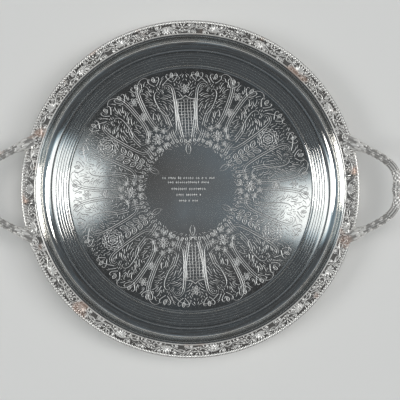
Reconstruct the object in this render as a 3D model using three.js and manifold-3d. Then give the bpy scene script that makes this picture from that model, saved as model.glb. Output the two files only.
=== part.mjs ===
// Round handled silver salver: a spun plate with an applied cast border, two cast handles and four cast feet.
// Millimetres, +Z up. The origin is the middle of the tray, on the plane that the feet stand on.
// +X runs through the right-hand handle.

import * as THREE from "three";
import { mergeVertices } from "three/addons/utils/BufferGeometryUtils.js";
import Module from "manifold-3d";

// ---- Driving dimensions ------------------------------------------------------------------------

const TRAY_RADIUS = 177.8; // a 14 inch tray, to the outside of the rim wire
const SOLDER_GAP = 0.3; // between pieces that are soldered together
const RING_SEGMENTS = 72;
const MERGE_DISTANCE = 1e-4;

// The spun sheet, from the floor of the well outwards.
const SHEET = 1.2;
const WELL_DEPTH = 16; // from the flange down to the floor
const FLOOR_CURVE = 2.2; // width and height of the little riser round the floor
const STEP_WIDTH = 16; // stepped ring band between the floor and the wall
const STEP_SLOPE = 0.8; // how much the ring band climbs outwards
const WALL_WIDTH = 14.6; // hollow-curved wall
const WALL_TURN = THREE.MathUtils.degToRad(70); // how far the wall turns up before the flange
const WALL_STEPS = 6;
const FLANGE_ROLL = 1.6; // radius where the wall rolls over into the flange
const ROLL_STEPS = 3;

// The rim: cast border on the flange, and a wire that closes the outer edge of both.
const RIM_WIRE = 2.2;
const RIM_WIRE_SIDES = 8;
const BORDER_WIDTH = 12.6;
const BORDER_EDGE = 1.4; // height of the border's inner and outer edge
const BORDER_CREST = 4.2;
const SECTIONS_PER_SIDE = 5;
const SECTION_STEPS = 7;
const SHELL_ANGLE = THREE.MathUtils.degToRad(10); // each shell casting covers this much of the rim
const SHELL_LOBES = 7;
const SHELL_RISE = 4.8;
const ROSETTE_RADIUS = 4.8;
const ROSETTE_RISE = 5;

// The handles.
const HANDLE_REACH = 44.2; // from the rim out to the tip of the knop
const HANDLE_SPREAD = 49.4; // from the X axis to the middle of each root
const HANDLE_BITE = 3.4; // how far a root reaches in over the border
const HANDLE_ROD = 8.4;
const HANDLE_RISE = 8; // the tip stands this much higher than the roots
const HANDLE_BEND = [ // points that the bow passes, as [in from the knop, out from the X axis]
  [27.4, 39.1],
  [11.3, 28.8],
  [2.8, 17],
];
const HANDLE_STEPS = 44;
const ROD_SIDES = 10;
const TERMINAL_RADIUS = 7.6; // leafy root where the rod meets the rim
const TERMINAL_LENGTH = 27;
const TERMINAL_FLATNESS = 0.82; // its height over its width
const KNOP_RADIUS = 5;
const KNOP_LENGTH = 15;
const TURNED_SIDES = 14;

// The feet.
const FOOT_COUNT = 4;
const FOOT_HEIGHT = 14;
const FOOT_INSET = 20; // from the edge of the floor in to the middle of a foot
const FOOT_PAD = 22; // length of the pad at the top of a foot
const FOOT_PAD_THICKNESS = 1.8;
const FOOT_WIDTH = 10;
const FOOT_SOLE = 6; // length of the flat that meets the table
const FOOT_TOE = 13; // from the middle of the foot out to its toe
const FOOT_TOE_ROUND = 2; // from the sole out to the toe
const PATCH_LENGTH = 30;
const PATCH_WIDTH = 19;
const PATCH_THICKNESS = 0.8;
const PATCH_SIDES = 24;

// ---- Sizes that follow -------------------------------------------------------------------------

// A ring of flat facets comes this much nearer the axis between its corners.
const FACET_DIP = TRAY_RADIUS * (1 - Math.cos(Math.PI / RING_SEGMENTS));

const RIM_WIRE_CENTRE = TRAY_RADIUS - RIM_WIRE / 2;
const BORDER_OUTER = TRAY_RADIUS - RIM_WIRE - FACET_DIP - SOLDER_GAP;
const BORDER_INNER = BORDER_OUTER - BORDER_WIDTH;
const WALL_FOOT_RADIUS = BORDER_INNER - WALL_WIDTH;
const WELL_RADIUS = WALL_FOOT_RADIUS - STEP_WIDTH;
const FOOT_CIRCLE = WELL_RADIUS - FOOT_INSET;

const PATCH_Z = FOOT_HEIGHT + SOLDER_GAP;
const FLOOR_UNDER = PATCH_Z + PATCH_THICKNESS + SOLDER_GAP;
const FLOOR_Z = FLOOR_UNDER + SHEET;
const FLANGE_Z = FLOOR_Z + WELL_DEPTH;
const BORDER_Z = FLANGE_Z + SOLDER_GAP;
const RIM_WIRE_Z = (FLANGE_Z - SHEET + BORDER_Z + BORDER_EDGE) / 2;
const RIM_TOP = BORDER_Z + Math.max(BORDER_CREST, ROSETTE_RISE, SHELL_RISE);
const HANDLE_ROOT_Z = (FLANGE_Z - SHEET + RIM_TOP) / 2;
const KNOP_X = TRAY_RADIUS + HANDLE_REACH - KNOP_RADIUS;

// ---- Finishes ----------------------------------------------------------------------------------

const polished = new THREE.MeshStandardMaterial({ color: 0xd8dadb, roughness: 0.08, metalness: 1 });
const cast = new THREE.MeshStandardMaterial({ color: 0xc9c7c2, roughness: 0.24, metalness: 1 });
const underside = new THREE.MeshStandardMaterial({ color: 0xbdb9b1, roughness: 0.32, metalness: 1 });

// ---- Solids ------------------------------------------------------------------------------------

const wasm = await Module();
wasm.setup();

/** A closed geometry as a solid that can be joined and cut. */
function solidOf(geometry) {
  const loose = geometry.index ? geometry.toNonIndexed() : geometry;
  const bare = new THREE.BufferGeometry();
  bare.setAttribute("position", loose.getAttribute("position"));
  const merged = mergeVertices(bare, MERGE_DISTANCE);
  return new wasm.Manifold(
    new wasm.Mesh({
      numProp: 3,
      vertProperties: new Float32Array(merged.getAttribute("position").array),
      triVerts: new Uint32Array(merged.index.array),
    }),
  );
}

/** A solid as a geometry. */
function geometryOf(solid) {
  const mesh = solid.getMesh();
  const geometry = new THREE.BufferGeometry();
  geometry.setAttribute("position", new THREE.BufferAttribute(mesh.vertProperties, mesh.numProp));
  geometry.setIndex(new THREE.BufferAttribute(mesh.triVerts, 1));
  geometry.computeVertexNormals();
  return geometry;
}

/** Geometries joined into one. */
function joined(geometries) {
  const solids = geometries.map(solidOf);
  return solids.reduce((whole, next) => whole.add(next));
}

/** A profile of (radius, height) points turned about the Z axis. */
function turned(profile, segments) {
  return new THREE.LatheGeometry(profile, segments).rotateX(Math.PI / 2);
}

/** Points moved square to their line by a distance, to its right. */
function offsetLine(points, distance) {
  return points.map((point, index) => {
    const before = points[Math.max(index - 1, 0)];
    const after = points[Math.min(index + 1, points.length - 1)];
    const along = after.clone().sub(before).normalize();
    return new THREE.Vector2(point.x + along.y * distance, point.y - along.x * distance);
  });
}

/** A level arc about the Z axis. */
class LevelArc extends THREE.Curve {
  constructor(radius, start, sweep, height) {
    super();
    this.radius = radius;
    this.start = start;
    this.sweep = sweep;
    this.height = height;
  }

  getPoint(t, target = new THREE.Vector3()) {
    const angle = this.start + this.sweep * t;
    return target.set(this.radius * Math.cos(angle), this.radius * Math.sin(angle), this.height);
  }
}

// ---- The spun sheet ----------------------------------------------------------------------------

/** Upper face of the sheet in section, from the centre of the floor to the edge of the flange. */
function upperLine() {
  const line = [new THREE.Vector2(0, FLOOR_Z), new THREE.Vector2(WELL_RADIUS - FLOOR_CURVE, FLOOR_Z)];
  const riser = new THREE.QuadraticBezierCurve(
    new THREE.Vector2(WELL_RADIUS - FLOOR_CURVE / 2, FLOOR_Z),
    new THREE.Vector2(WELL_RADIUS, FLOOR_Z),
    new THREE.Vector2(WELL_RADIUS + FLOOR_CURVE / 2, FLOOR_Z + FLOOR_CURVE),
  );
  line.push(...riser.getPoints(3).slice(1));
  const wallFootZ = FLOOR_Z + FLOOR_CURVE + STEP_SLOPE;
  const wallRise = FLANGE_Z - FLANGE_ROLL * (1 - Math.cos(WALL_TURN)) - wallFootZ;
  const wallRun = WALL_WIDTH - FLANGE_ROLL * Math.sin(WALL_TURN);
  for (let step = 0; step <= WALL_STEPS; step += 1) {
    const turn = (WALL_TURN * step) / WALL_STEPS;
    const out = Math.sin(turn) / Math.sin(WALL_TURN);
    const up = (1 - Math.cos(turn)) / (1 - Math.cos(WALL_TURN));
    line.push(new THREE.Vector2(WALL_FOOT_RADIUS + wallRun * out, wallFootZ + wallRise * up));
  }
  for (let step = 1; step <= ROLL_STEPS; step += 1) {
    const turn = WALL_TURN * (1 - step / ROLL_STEPS);
    const inward = FLANGE_ROLL * Math.sin(turn);
    const down = FLANGE_ROLL * (1 - Math.cos(turn));
    line.push(new THREE.Vector2(WALL_FOOT_RADIUS + WALL_WIDTH - inward, FLANGE_Z - down));
  }
  line.push(new THREE.Vector2(BORDER_OUTER, FLANGE_Z));
  return line;
}

function trayBody() {
  const upper = upperLine();
  const lower = offsetLine(upper, SHEET);
  lower[0].x = 0;
  return turned([...lower, ...upper.reverse()], RING_SEGMENTS);
}

// ---- The rim -----------------------------------------------------------------------------------

function rimWire() {
  const section = [];
  for (let side = 0; side <= RIM_WIRE_SIDES; side += 1) {
    const angle = (2 * Math.PI * (side % RIM_WIRE_SIDES)) / RIM_WIRE_SIDES;
    const radius = RIM_WIRE_CENTRE + (RIM_WIRE / 2) * Math.cos(angle);
    section.push(new THREE.Vector2(radius, RIM_WIRE_Z + (RIM_WIRE / 2) * Math.sin(angle)));
  }
  return turned(section, RING_SEGMENTS);
}

/** The border's moulded section swept round part of the rim, with a solder gap shared at both ends. */
function borderMoulding(start, sweep) {
  const gap = SOLDER_GAP / BORDER_INNER;
  const middle = (BORDER_INNER + BORDER_OUTER) / 2;
  const half = BORDER_WIDTH / 2;
  const path = new LevelArc(middle, start + gap / 2, sweep - gap, BORDER_Z);
  // In the sweep the section's x runs down and its y runs towards the axis.
  const section = new THREE.Shape();
  section.moveTo(0, half);
  section.lineTo(-BORDER_EDGE, half);
  section.bezierCurveTo(-BORDER_CREST, half / 2, -BORDER_CREST, -half / 2, -BORDER_EDGE, -half);
  section.lineTo(0, -half);
  const steps = Math.max(2, Math.round((SECTION_STEPS * sweep) / sectionSweep()));
  return new THREE.ExtrudeGeometry(section, { steps, extrudePath: path, curveSegments: 6 });
}

function sectionSweep() {
  return (Math.PI - SHELL_ANGLE) / SECTIONS_PER_SIDE;
}

/** One border casting, with a rosette in its middle. */
function borderSection(start) {
  const sweep = sectionSweep();
  const dome = [new THREE.Vector2(0, 0), new THREE.Vector2(ROSETTE_RADIUS, 0)];
  dome.push(new THREE.Vector2(ROSETTE_RADIUS, ROSETTE_RISE * 0.6));
  dome.push(new THREE.Vector2(ROSETTE_RADIUS * 0.7, ROSETTE_RISE * 0.92));
  dome.push(new THREE.Vector2(0, ROSETTE_RISE));
  const middle = (BORDER_INNER + BORDER_OUTER) / 2;
  const angle = start + sweep / 2;
  const rosette = turned(dome, TURNED_SIDES);
  rosette.translate(middle * Math.cos(angle), middle * Math.sin(angle), BORDER_Z);
  return geometryOf(joined([borderMoulding(start, sweep), rosette]));
}

/** The shell casting that covers the joint of the border behind a handle, its fan opening outwards. */
function borderShell(middleAngle) {
  const hinge = BORDER_INNER + BORDER_EDGE;
  const rim = BORDER_OUTER - BORDER_EDGE;
  const spread = BORDER_WIDTH / 2;
  const fan = new THREE.Shape();
  fan.moveTo(hinge, -BORDER_EDGE);
  fan.lineTo(rim - BORDER_EDGE, -spread);
  for (let lobe = 0; lobe < SHELL_LOBES; lobe += 1) {
    const next = -spread + (2 * spread * (lobe + 1)) / SHELL_LOBES;
    fan.quadraticCurveTo(rim + BORDER_EDGE, next - spread / SHELL_LOBES, rim - BORDER_EDGE, next);
  }
  fan.lineTo(hinge, BORDER_EDGE);
  const raised = new THREE.ExtrudeGeometry(fan, { depth: SHELL_RISE, bevelEnabled: false, curveSegments: 3 });
  raised.translate(0, 0, BORDER_Z);
  raised.rotateZ(middleAngle);
  return geometryOf(joined([borderMoulding(middleAngle - SHELL_ANGLE / 2, SHELL_ANGLE), raised]));
}

/** Everything at the rim, grown by a solder gap: what a handle's root is cut to sit over. */
function rimEnvelope() {
  const inner = BORDER_INNER - SOLDER_GAP;
  const outer = TRAY_RADIUS + FACET_DIP + SOLDER_GAP;
  const under = Math.min(FLANGE_Z - SHEET, RIM_WIRE_Z - RIM_WIRE / 2) - SOLDER_GAP;
  const wireTop = RIM_WIRE_Z + RIM_WIRE / 2 + SOLDER_GAP;
  const top = RIM_TOP + SOLDER_GAP;
  const corners = [
    [inner, under],
    [outer, under],
    [outer, wireTop],
    [BORDER_OUTER + SOLDER_GAP, top],
    [inner, top],
    [inner, under],
  ];
  return turned(corners.map(([radius, height]) => new THREE.Vector2(radius, height)), RING_SEGMENTS);
}

// ---- The handles -------------------------------------------------------------------------------

/** Centre line of the right-hand handle, from one root round the bow to the other. */
function handleLine() {
  const rootX = Math.sqrt((TRAY_RADIUS - HANDLE_BITE) ** 2 - HANDLE_SPREAD ** 2);
  const half = [[rootX, HANDLE_SPREAD], ...HANDLE_BEND.map(([inward, out]) => [KNOP_X - inward, out])];
  const flat = [...half, [KNOP_X, 0], ...half.map(([x, y]) => [x, -y]).reverse()];
  const points = flat.map(([x, y]) => {
    const outward = (x - rootX) / (KNOP_X - rootX);
    return new THREE.Vector3(x, y, HANDLE_ROOT_Z + HANDLE_RISE * outward);
  });
  return new THREE.CatmullRomCurve3(points);
}

/** A turned shape set with its own axis along a direction and its height squashed. */
function turnedAlong(profile, place, direction, flatness) {
  const across = new THREE.Vector3().crossVectors(direction, new THREE.Vector3(0, 0, 1)).normalize();
  const up = new THREE.Vector3().crossVectors(across, direction);
  const shape = new THREE.LatheGeometry(profile, TURNED_SIDES).scale(1, 1, flatness);
  shape.applyMatrix4(new THREE.Matrix4().makeBasis(across, direction, up).setPosition(place));
  return shape;
}

function handle() {
  const line = handleLine();
  const circle = new THREE.Shape().absarc(0, 0, HANDLE_ROD / 2, 0, 2 * Math.PI);
  const rod = new THREE.ExtrudeGeometry(circle, {
    steps: HANDLE_STEPS,
    extrudePath: line,
    curveSegments: ROD_SIDES,
  });
  const terminal = [
    [0, 0],
    [TERMINAL_RADIUS, 0],
    [TERMINAL_RADIUS, TERMINAL_LENGTH * 0.3],
    [HANDLE_ROD * 0.68, TERMINAL_LENGTH * 0.66],
    [HANDLE_ROD * 0.58, TERMINAL_LENGTH],
    [0, TERMINAL_LENGTH],
  ].map(([radius, along]) => new THREE.Vector2(radius, along));
  const knop = [
    [0, -KNOP_LENGTH / 2],
    [HANDLE_ROD / 2, -KNOP_LENGTH / 2],
    [KNOP_RADIUS, -KNOP_LENGTH / 5],
    [KNOP_RADIUS, KNOP_LENGTH / 5],
    [HANDLE_ROD / 2, KNOP_LENGTH / 2],
    [0, KNOP_LENGTH / 2],
  ].map(([radius, along]) => new THREE.Vector2(radius, along));
  const pieces = [
    rod,
    turnedAlong(terminal, line.getPoint(0), line.getTangent(0), TERMINAL_FLATNESS),
    turnedAlong(terminal, line.getPoint(1), line.getTangent(1).negate(), TERMINAL_FLATNESS),
    turnedAlong(knop, line.getPoint(0.5), line.getTangent(0.5), 1),
  ];
  return geometryOf(joined(pieces).subtract(solidOf(rimEnvelope())));
}

// ---- The feet ----------------------------------------------------------------------------------

/** A scroll foot standing at the origin, its toe towards +X. */
function foot() {
  const half = FOOT_PAD / 2;
  const padUnder = FOOT_HEIGHT - FOOT_PAD_THICKNESS;
  const heel = FOOT_TOE - FOOT_TOE_ROUND - FOOT_SOLE;
  const side = new THREE.Shape();
  side.moveTo(-half, FOOT_HEIGHT);
  side.lineTo(-half, padUnder);
  side.quadraticCurveTo(-half / 3, padUnder - 1, 0, padUnder / 2);
  side.quadraticCurveTo(heel / 2, 0, heel, 0);
  side.lineTo(heel + FOOT_SOLE, 0);
  side.quadraticCurveTo(FOOT_TOE, 0, FOOT_TOE, padUnder / 4);
  side.quadraticCurveTo(FOOT_TOE, padUnder / 2, FOOT_TOE - FOOT_SOLE / 2, padUnder / 2);
  side.quadraticCurveTo(half / 2, padUnder * 0.6, half, padUnder);
  side.lineTo(half, FOOT_HEIGHT);
  const shape = new THREE.ExtrudeGeometry(side, { depth: FOOT_WIDTH, bevelEnabled: false, curveSegments: 5 });
  return shape.rotateX(Math.PI / 2).translate(0, FOOT_WIDTH / 2, 0);
}

function footPatch() {
  const disc = new THREE.CylinderGeometry(0.5, 0.5, PATCH_THICKNESS, PATCH_SIDES).rotateX(Math.PI / 2);
  return disc.scale(PATCH_LENGTH, PATCH_WIDTH, 1).translate(0, 0, PATCH_Z + PATCH_THICKNESS / 2);
}

// ---- Assembly ----------------------------------------------------------------------------------

const salver = new THREE.Group();

function place(name, geometry, material, parent = salver) {
  const mesh = new THREE.Mesh(geometry, material);
  mesh.name = name;
  parent.add(mesh);
  return mesh;
}

place("tray_body", trayBody(), polished);
place("rim_wire", rimWire(), polished);

for (let index = 0; index < 2 * SECTIONS_PER_SIDE; index += 1) {
  const side = Math.floor(index / SECTIONS_PER_SIDE);
  const start = side * Math.PI + SHELL_ANGLE / 2 + (index % SECTIONS_PER_SIDE) * sectionSweep();
  place(`border_section_${String(index + 1).padStart(2, "0")}`, borderSection(start), cast);
}
place("border_shell_right", borderShell(0), cast);
place("border_shell_left", borderShell(Math.PI), cast);

place("handle_right", handle(), cast);
place("handle_left", handle(), cast).rotation.z = Math.PI;

for (let index = 0; index < FOOT_COUNT; index += 1) {
  const corner = new THREE.Group();
  corner.rotation.z = (2 * Math.PI * (index + 0.5)) / FOOT_COUNT;
  const stand = new THREE.Group();
  stand.position.x = FOOT_CIRCLE;
  place(`foot_${index + 1}`, foot(), cast, stand);
  place(`foot_patch_${index + 1}`, footPatch(), underside, stand);
  corner.add(stand);
  salver.add(corner);
}

export default salver;
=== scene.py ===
"""Round silver-plated salver: chased well, cast floral border, looped handles and scroll feet.

Shapes are worked in millimetres and scaled to metres when a piece is set down.
"""

import bisect
import logging
import math
import random
from dataclasses import dataclass, field
from enum import Enum
from typing import Callable, Iterable, Sequence

import bmesh
import bpy
from mathutils import Matrix, Vector


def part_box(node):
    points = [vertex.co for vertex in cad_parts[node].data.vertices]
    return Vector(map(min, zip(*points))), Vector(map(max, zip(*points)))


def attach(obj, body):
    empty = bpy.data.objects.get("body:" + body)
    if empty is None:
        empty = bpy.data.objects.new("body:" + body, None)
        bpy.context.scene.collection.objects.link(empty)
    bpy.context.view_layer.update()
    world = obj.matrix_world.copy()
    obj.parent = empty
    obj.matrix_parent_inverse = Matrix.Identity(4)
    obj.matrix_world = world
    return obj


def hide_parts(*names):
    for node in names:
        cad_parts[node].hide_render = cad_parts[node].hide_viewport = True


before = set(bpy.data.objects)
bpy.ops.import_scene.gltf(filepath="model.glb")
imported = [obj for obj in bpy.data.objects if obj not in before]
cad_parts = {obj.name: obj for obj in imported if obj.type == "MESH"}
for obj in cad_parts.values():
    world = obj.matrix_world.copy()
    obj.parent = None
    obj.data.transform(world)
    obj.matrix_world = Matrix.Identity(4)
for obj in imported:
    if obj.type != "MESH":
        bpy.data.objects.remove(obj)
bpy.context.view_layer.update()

MM = 0.001
PER_MM = 1.0 / MM
TURN = 2.0 * math.pi
BODY = "root"
SEED = 14

Point = tuple[float, float]

log = logging.getLogger("salver")


# ---- Sizes taken from the frame -----------------------------------------------------------------


@dataclass(frozen=True)
class Levels:
    """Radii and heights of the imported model, in millimetres."""

    tray_radius: float
    floor_under: float
    flange: float
    border_inner: float
    border_outer: float
    border_foot: float
    rim_top: float
    knop_tip: float
    handle_top: float

    @classmethod
    def read(cls) -> "Levels":
        """Reads the levels from the boxes of the nodes.

        Returns:
            The levels, in millimetres.
        """
        sheet_low, sheet_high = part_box("tray_body")
        wire_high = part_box("rim_wire")[1]
        shell_low, shell_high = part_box("border_shell_right")
        section_low, section_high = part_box("border_section_01")
        handle_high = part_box("handle_right")[1]
        return cls(
            tray_radius=wire_high.x / MM,
            floor_under=sheet_low.z / MM,
            flange=sheet_high.z / MM,
            border_inner=shell_low.x / math.cos(math.asin(shell_high.y / shell_high.x)) / MM,
            border_outer=shell_high.x / MM,
            border_foot=section_low.z / MM,
            rim_top=section_high.z / MM,
            knop_tip=handle_high.x / MM,
            handle_top=handle_high.z / MM,
        )


# ---- Small tools --------------------------------------------------------------------------------


def linear(colour: str) -> tuple[float, float, float, float]:
    """Turns an sRGB hex colour into linear light.

    Args:
        colour: The colour as "#rrggbb".

    Returns:
        Red, green, blue and an alpha of one.
    """
    parts = [int(colour[i : i + 2], 16) / 255.0 for i in (1, 3, 5)]
    red, green, blue = (c / 12.92 if c <= 0.04045 else ((c + 0.055) / 1.055) ** 2.4 for c in parts)
    return red, green, blue, 1.0


def smooth_step(low: float, high: float, value: float) -> float:
    """A smooth rise from 0 at low to 1 at high."""
    t = min(max((value - low) / (high - low), 0.0), 1.0)
    return t * t * (3.0 - 2.0 * t)


def placed(x: float, y: float, z: float, turn: float = 0.0, size: Sequence[float] = (1, 1, 1)) -> Matrix:
    """A place for a stamp.

    Args:
        x: Along the strip.
        y: Across it.
        z: Above it.
        turn: Angle about Z, in radians.
        size: Scale along each of the stamp's own axes.

    Returns:
        The matrix that puts a stamp there.
    """
    return Matrix.Translation((x, y, z)) @ Matrix.Rotation(turn, 4, "Z") @ Matrix.Diagonal((*size, 1.0))


def add_node(
    tree: bpy.types.NodeTree,
    kind: str,
    settings: dict[str, object] | None = None,
    links: dict[str, bpy.types.NodeSocket] | None = None,
) -> bpy.types.Node:
    """Adds one node to a material.

    Args:
        tree: The node tree.
        kind: The node's type.
        settings: Values by property name, or by input name.
        links: Output sockets by the name or number of the input that they feed.

    Returns:
        The new node.
    """
    node = tree.nodes.new(kind)
    for name, value in (settings or {}).items():
        if hasattr(node, name):
            setattr(node, name, value)
    for name, value in (settings or {}).items():
        if not hasattr(node, name):
            node.inputs[int(name) if name.isdigit() else name].default_value = value
    for name, socket in (links or {}).items():
        tree.links.new(socket, node.inputs[int(name) if name.isdigit() else name])
    return node


# ---- Finishes -----------------------------------------------------------------------------------


@dataclass(frozen=True)
class SilverPlate:
    """Silver electroplated on nickel silver or white metal: bright, with a dark film left in hollows.

    The eye gets clean mirror reflections broken by fine polishing scratches, grey tarnish in the recesses
    where a cloth doesn't reach, and a faint warm tint where the plate has worn thin. On chased lines the
    same dark colour is painted shade: it lies on a low ledge beside each cut and in its groove, and stands
    for the cut's shadow side. Cast and chased work is partly chalky, as plating over a skin that was never
    polished is. The lathe's rings and the specks are drawn coarser than the real ones, so that they show.
    """

    name: str
    clean: str = "#EDEBE6"
    smudged: str = "#CFC9BE"
    # Dark colour for low relief: tarnish in the hollows of cast work, painted shade beside each chased cut.
    tarnish_and_shade: str = "#2E2A26"
    worn: str = "#D0B09E"
    metal: float = 1.0
    roughness: float = 0.10
    haze: float = 0.06
    smudge_mm: float = 28.0
    smudge_amount: float = 0.16
    scratch_mm: float = 0.9
    scratch_depth: float = 0.004
    wave_mm: float = 55.0
    wave_depth: float = 0.0
    ring_mm: float = 0.0
    ring_depth: float = 0.0
    speck_mm: float = 1.7
    specks: float = 0.0
    tarnish_and_shade_height: float = 0.0
    tarnish_and_shade_amount: float = 0.0
    wear_mm: float = 34.0
    wear: float = 0.0

    def build(self) -> bpy.types.Material:
        """Builds the material's nodes.

        Returns:
            The material.
        """
        material = bpy.data.materials.new(self.name)
        material.use_nodes = True
        tree = material.node_tree
        tree.nodes.clear()
        place = add_node(tree, "ShaderNodeTexCoord").outputs["Object"]
        smudge = add_node(
            tree, "ShaderNodeTexNoise",
            {"Scale": PER_MM / self.smudge_mm, "Detail": 5.0, "Roughness": 0.6}, {"Vector": place},
        ).outputs["Fac"]
        rough = add_node(
            tree, "ShaderNodeMapRange",
            {"From Min": 0.35, "From Max": 0.7,
             "To Min": self.roughness, "To Max": self.roughness + self.haze},
            {"Value": smudge},
        ).outputs["Result"]
        shader = add_node(
            tree, "ShaderNodeBsdfPrincipled", {"Metallic": self.metal},
            {"Base Color": self._colour(tree, place, smudge), "Roughness": rough,
             "Normal": self._normal(tree, place)},
        )
        if self.specks:
            dust = add_node(
                tree, "ShaderNodeTexNoise",
                {"Scale": PER_MM / self.speck_mm, "Detail": 3.0, "Roughness": 0.7}, {"Vector": place},
            ).outputs["Fac"]
            dull = add_node(
                tree, "ShaderNodeMapRange",
                {"From Min": 0.5, "From Max": 0.68, "To Min": self.metal, "To Max": self.metal - self.specks},
                {"Value": dust},
            ).outputs["Result"]
            tree.links.new(dull, shader.inputs["Metallic"])
        add_node(tree, "ShaderNodeOutputMaterial", None, {"Surface": shader.outputs["BSDF"]})
        return material

    def _colour(self, tree: bpy.types.NodeTree, place: bpy.types.NodeSocket,
                smudge: bpy.types.NodeSocket) -> bpy.types.NodeSocket:
        """Colours clean plate, dark tarnish in the hollows of cast work, painted shade on the ledge and
        groove of chased cuts, and worn patches.

        Args:
            tree: The material's nodes.
            place: The place on the piece.
            smudge: The pattern of smudges.

        Returns:
            The colour.
        """
        smudged = add_node(
            tree, "ShaderNodeMapRange",
            {"From Min": 0.3, "From Max": 0.7, "To Min": 0.0, "To Max": self.smudge_amount},
            {"Value": smudge},
        ).outputs["Result"]
        base = self._mixed(tree, smudged, linear(self.clean), linear(self.smudged))
        # Dark colour where the relief is low: tarnish in cast hollows; on chased lines, painted shade beside
        # each cut.
        if self.tarnish_and_shade_amount:
            height = add_node(tree, "ShaderNodeAttribute", {"attribute_name": "relief"}).outputs["Fac"]
            hollow = add_node(
                tree, "ShaderNodeMapRange",
                {"interpolation_type": "SMOOTHSTEP", "From Min": 0.0, "From Max": self.tarnish_and_shade_height,
                 "To Min": self.tarnish_and_shade_amount, "To Max": 0.0},
                {"Value": height},
            ).outputs["Result"]
            base = self._mixed(tree, hollow, base, linear(self.tarnish_and_shade))
        if self.wear:
            patch = add_node(
                tree, "ShaderNodeTexNoise", {"Scale": PER_MM / self.wear_mm, "Detail": 2.0}, {"Vector": place}
            ).outputs["Fac"]
            where = add_node(
                tree, "ShaderNodeMapRange",
                {"interpolation_type": "SMOOTHSTEP", "From Min": 0.59, "From Max": 0.68,
                 "To Min": 0.0, "To Max": self.wear},
                {"Value": patch},
            ).outputs["Result"]
            base = self._mixed(tree, where, base, linear(self.worn))
        return base

    @staticmethod
    def _mixed(tree: bpy.types.NodeTree, share: bpy.types.NodeSocket, first: object,
               second: object) -> bpy.types.NodeSocket:
        """Mixes two colours.

        Args:
            tree: The material's nodes.
            share: How much of the second.
            first: A colour, or the socket of one.
            second: The other.

        Returns:
            The mixed colour.
        """
        node = add_node(tree, "ShaderNodeMix", {"data_type": "RGBA"}, {"0": share})
        for number, colour in ((6, first), (7, second)):
            if isinstance(colour, bpy.types.NodeSocket):
                tree.links.new(colour, node.inputs[number])
            else:
                node.inputs[number].default_value = colour
        return node.outputs[2]

    def _normal(self, tree: bpy.types.NodeTree, place: bpy.types.NodeSocket) -> bpy.types.NodeSocket:
        """Lays scratches, the sheet's gentle waves and the lathe's rings one on another as bumps.

        Args:
            tree: The material's nodes.
            place: The place on the piece.

        Returns:
            The bumped normal.
        """
        scratch = add_node(
            tree, "ShaderNodeTexNoise",
            {"Scale": PER_MM / self.scratch_mm, "Detail": 3.0, "Distortion": 1.5}, {"Vector": place},
        ).outputs["Fac"]
        normal = add_node(
            tree, "ShaderNodeBump", {"Distance": self.scratch_depth * MM, "Strength": 1.0},
            {"Height": scratch},
        ).outputs["Normal"]
        if self.wave_depth:
            wave = add_node(
                tree, "ShaderNodeTexNoise", {"Scale": PER_MM / self.wave_mm, "Detail": 1.0}, {"Vector": place}
            ).outputs["Fac"]
            normal = add_node(
                tree, "ShaderNodeBump", {"Distance": self.wave_depth * MM, "Strength": 1.0},
                {"Height": wave, "Normal": normal},
            ).outputs["Normal"]
        if self.ring_depth:
            flat = add_node(tree, "ShaderNodeVectorMath", {"operation": "MULTIPLY", "1": (1.0, 1.0, 0.0)},
                            {"0": place})
            radius = add_node(tree, "ShaderNodeVectorMath", {"operation": "LENGTH"},
                              {"0": flat.outputs["Vector"]}).outputs["Value"]
            rings = add_node(
                tree, "ShaderNodeTexNoise",
                {"noise_dimensions": "1D", "Scale": PER_MM / self.ring_mm, "Detail": 2.0}, {"W": radius},
            ).outputs["Fac"]
            normal = add_node(
                tree, "ShaderNodeBump", {"Distance": self.ring_depth * MM, "Strength": 1.0},
                {"Height": rings, "Normal": normal},
            ).outputs["Normal"]
        return normal


@dataclass(frozen=True)
class StudioPaper:
    """Seamless background paper: matt, pale, with the faintest mottle."""

    name: str = "studio paper, matt"
    colour: str = "#D9D8D5"
    mottled: str = "#C4C3C0"

    def build(self) -> bpy.types.Material:
        """Builds the material's nodes.

        Returns:
            The material.
        """
        material = bpy.data.materials.new(self.name)
        material.use_nodes = True
        tree = material.node_tree
        tree.nodes.clear()
        place = add_node(tree, "ShaderNodeTexCoord").outputs["Object"]
        mottle = add_node(tree, "ShaderNodeTexNoise", {"Scale": 3.0, "Detail": 4.0}, {"Vector": place})
        share = add_node(tree, "ShaderNodeMapRange", {"To Min": 0.0, "To Max": 0.08},
                         {"Value": mottle.outputs["Fac"]})
        mix = add_node(tree, "ShaderNodeMix",
                       {"data_type": "RGBA", "6": linear(self.colour), "7": linear(self.mottled)},
                       {"0": share.outputs["Result"]})
        shader = add_node(tree, "ShaderNodeBsdfPrincipled", {"Roughness": 0.9},
                          {"Base Color": mix.outputs[2]})
        add_node(tree, "ShaderNodeOutputMaterial", None, {"Surface": shader.outputs["BSDF"]})
        return material


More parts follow.
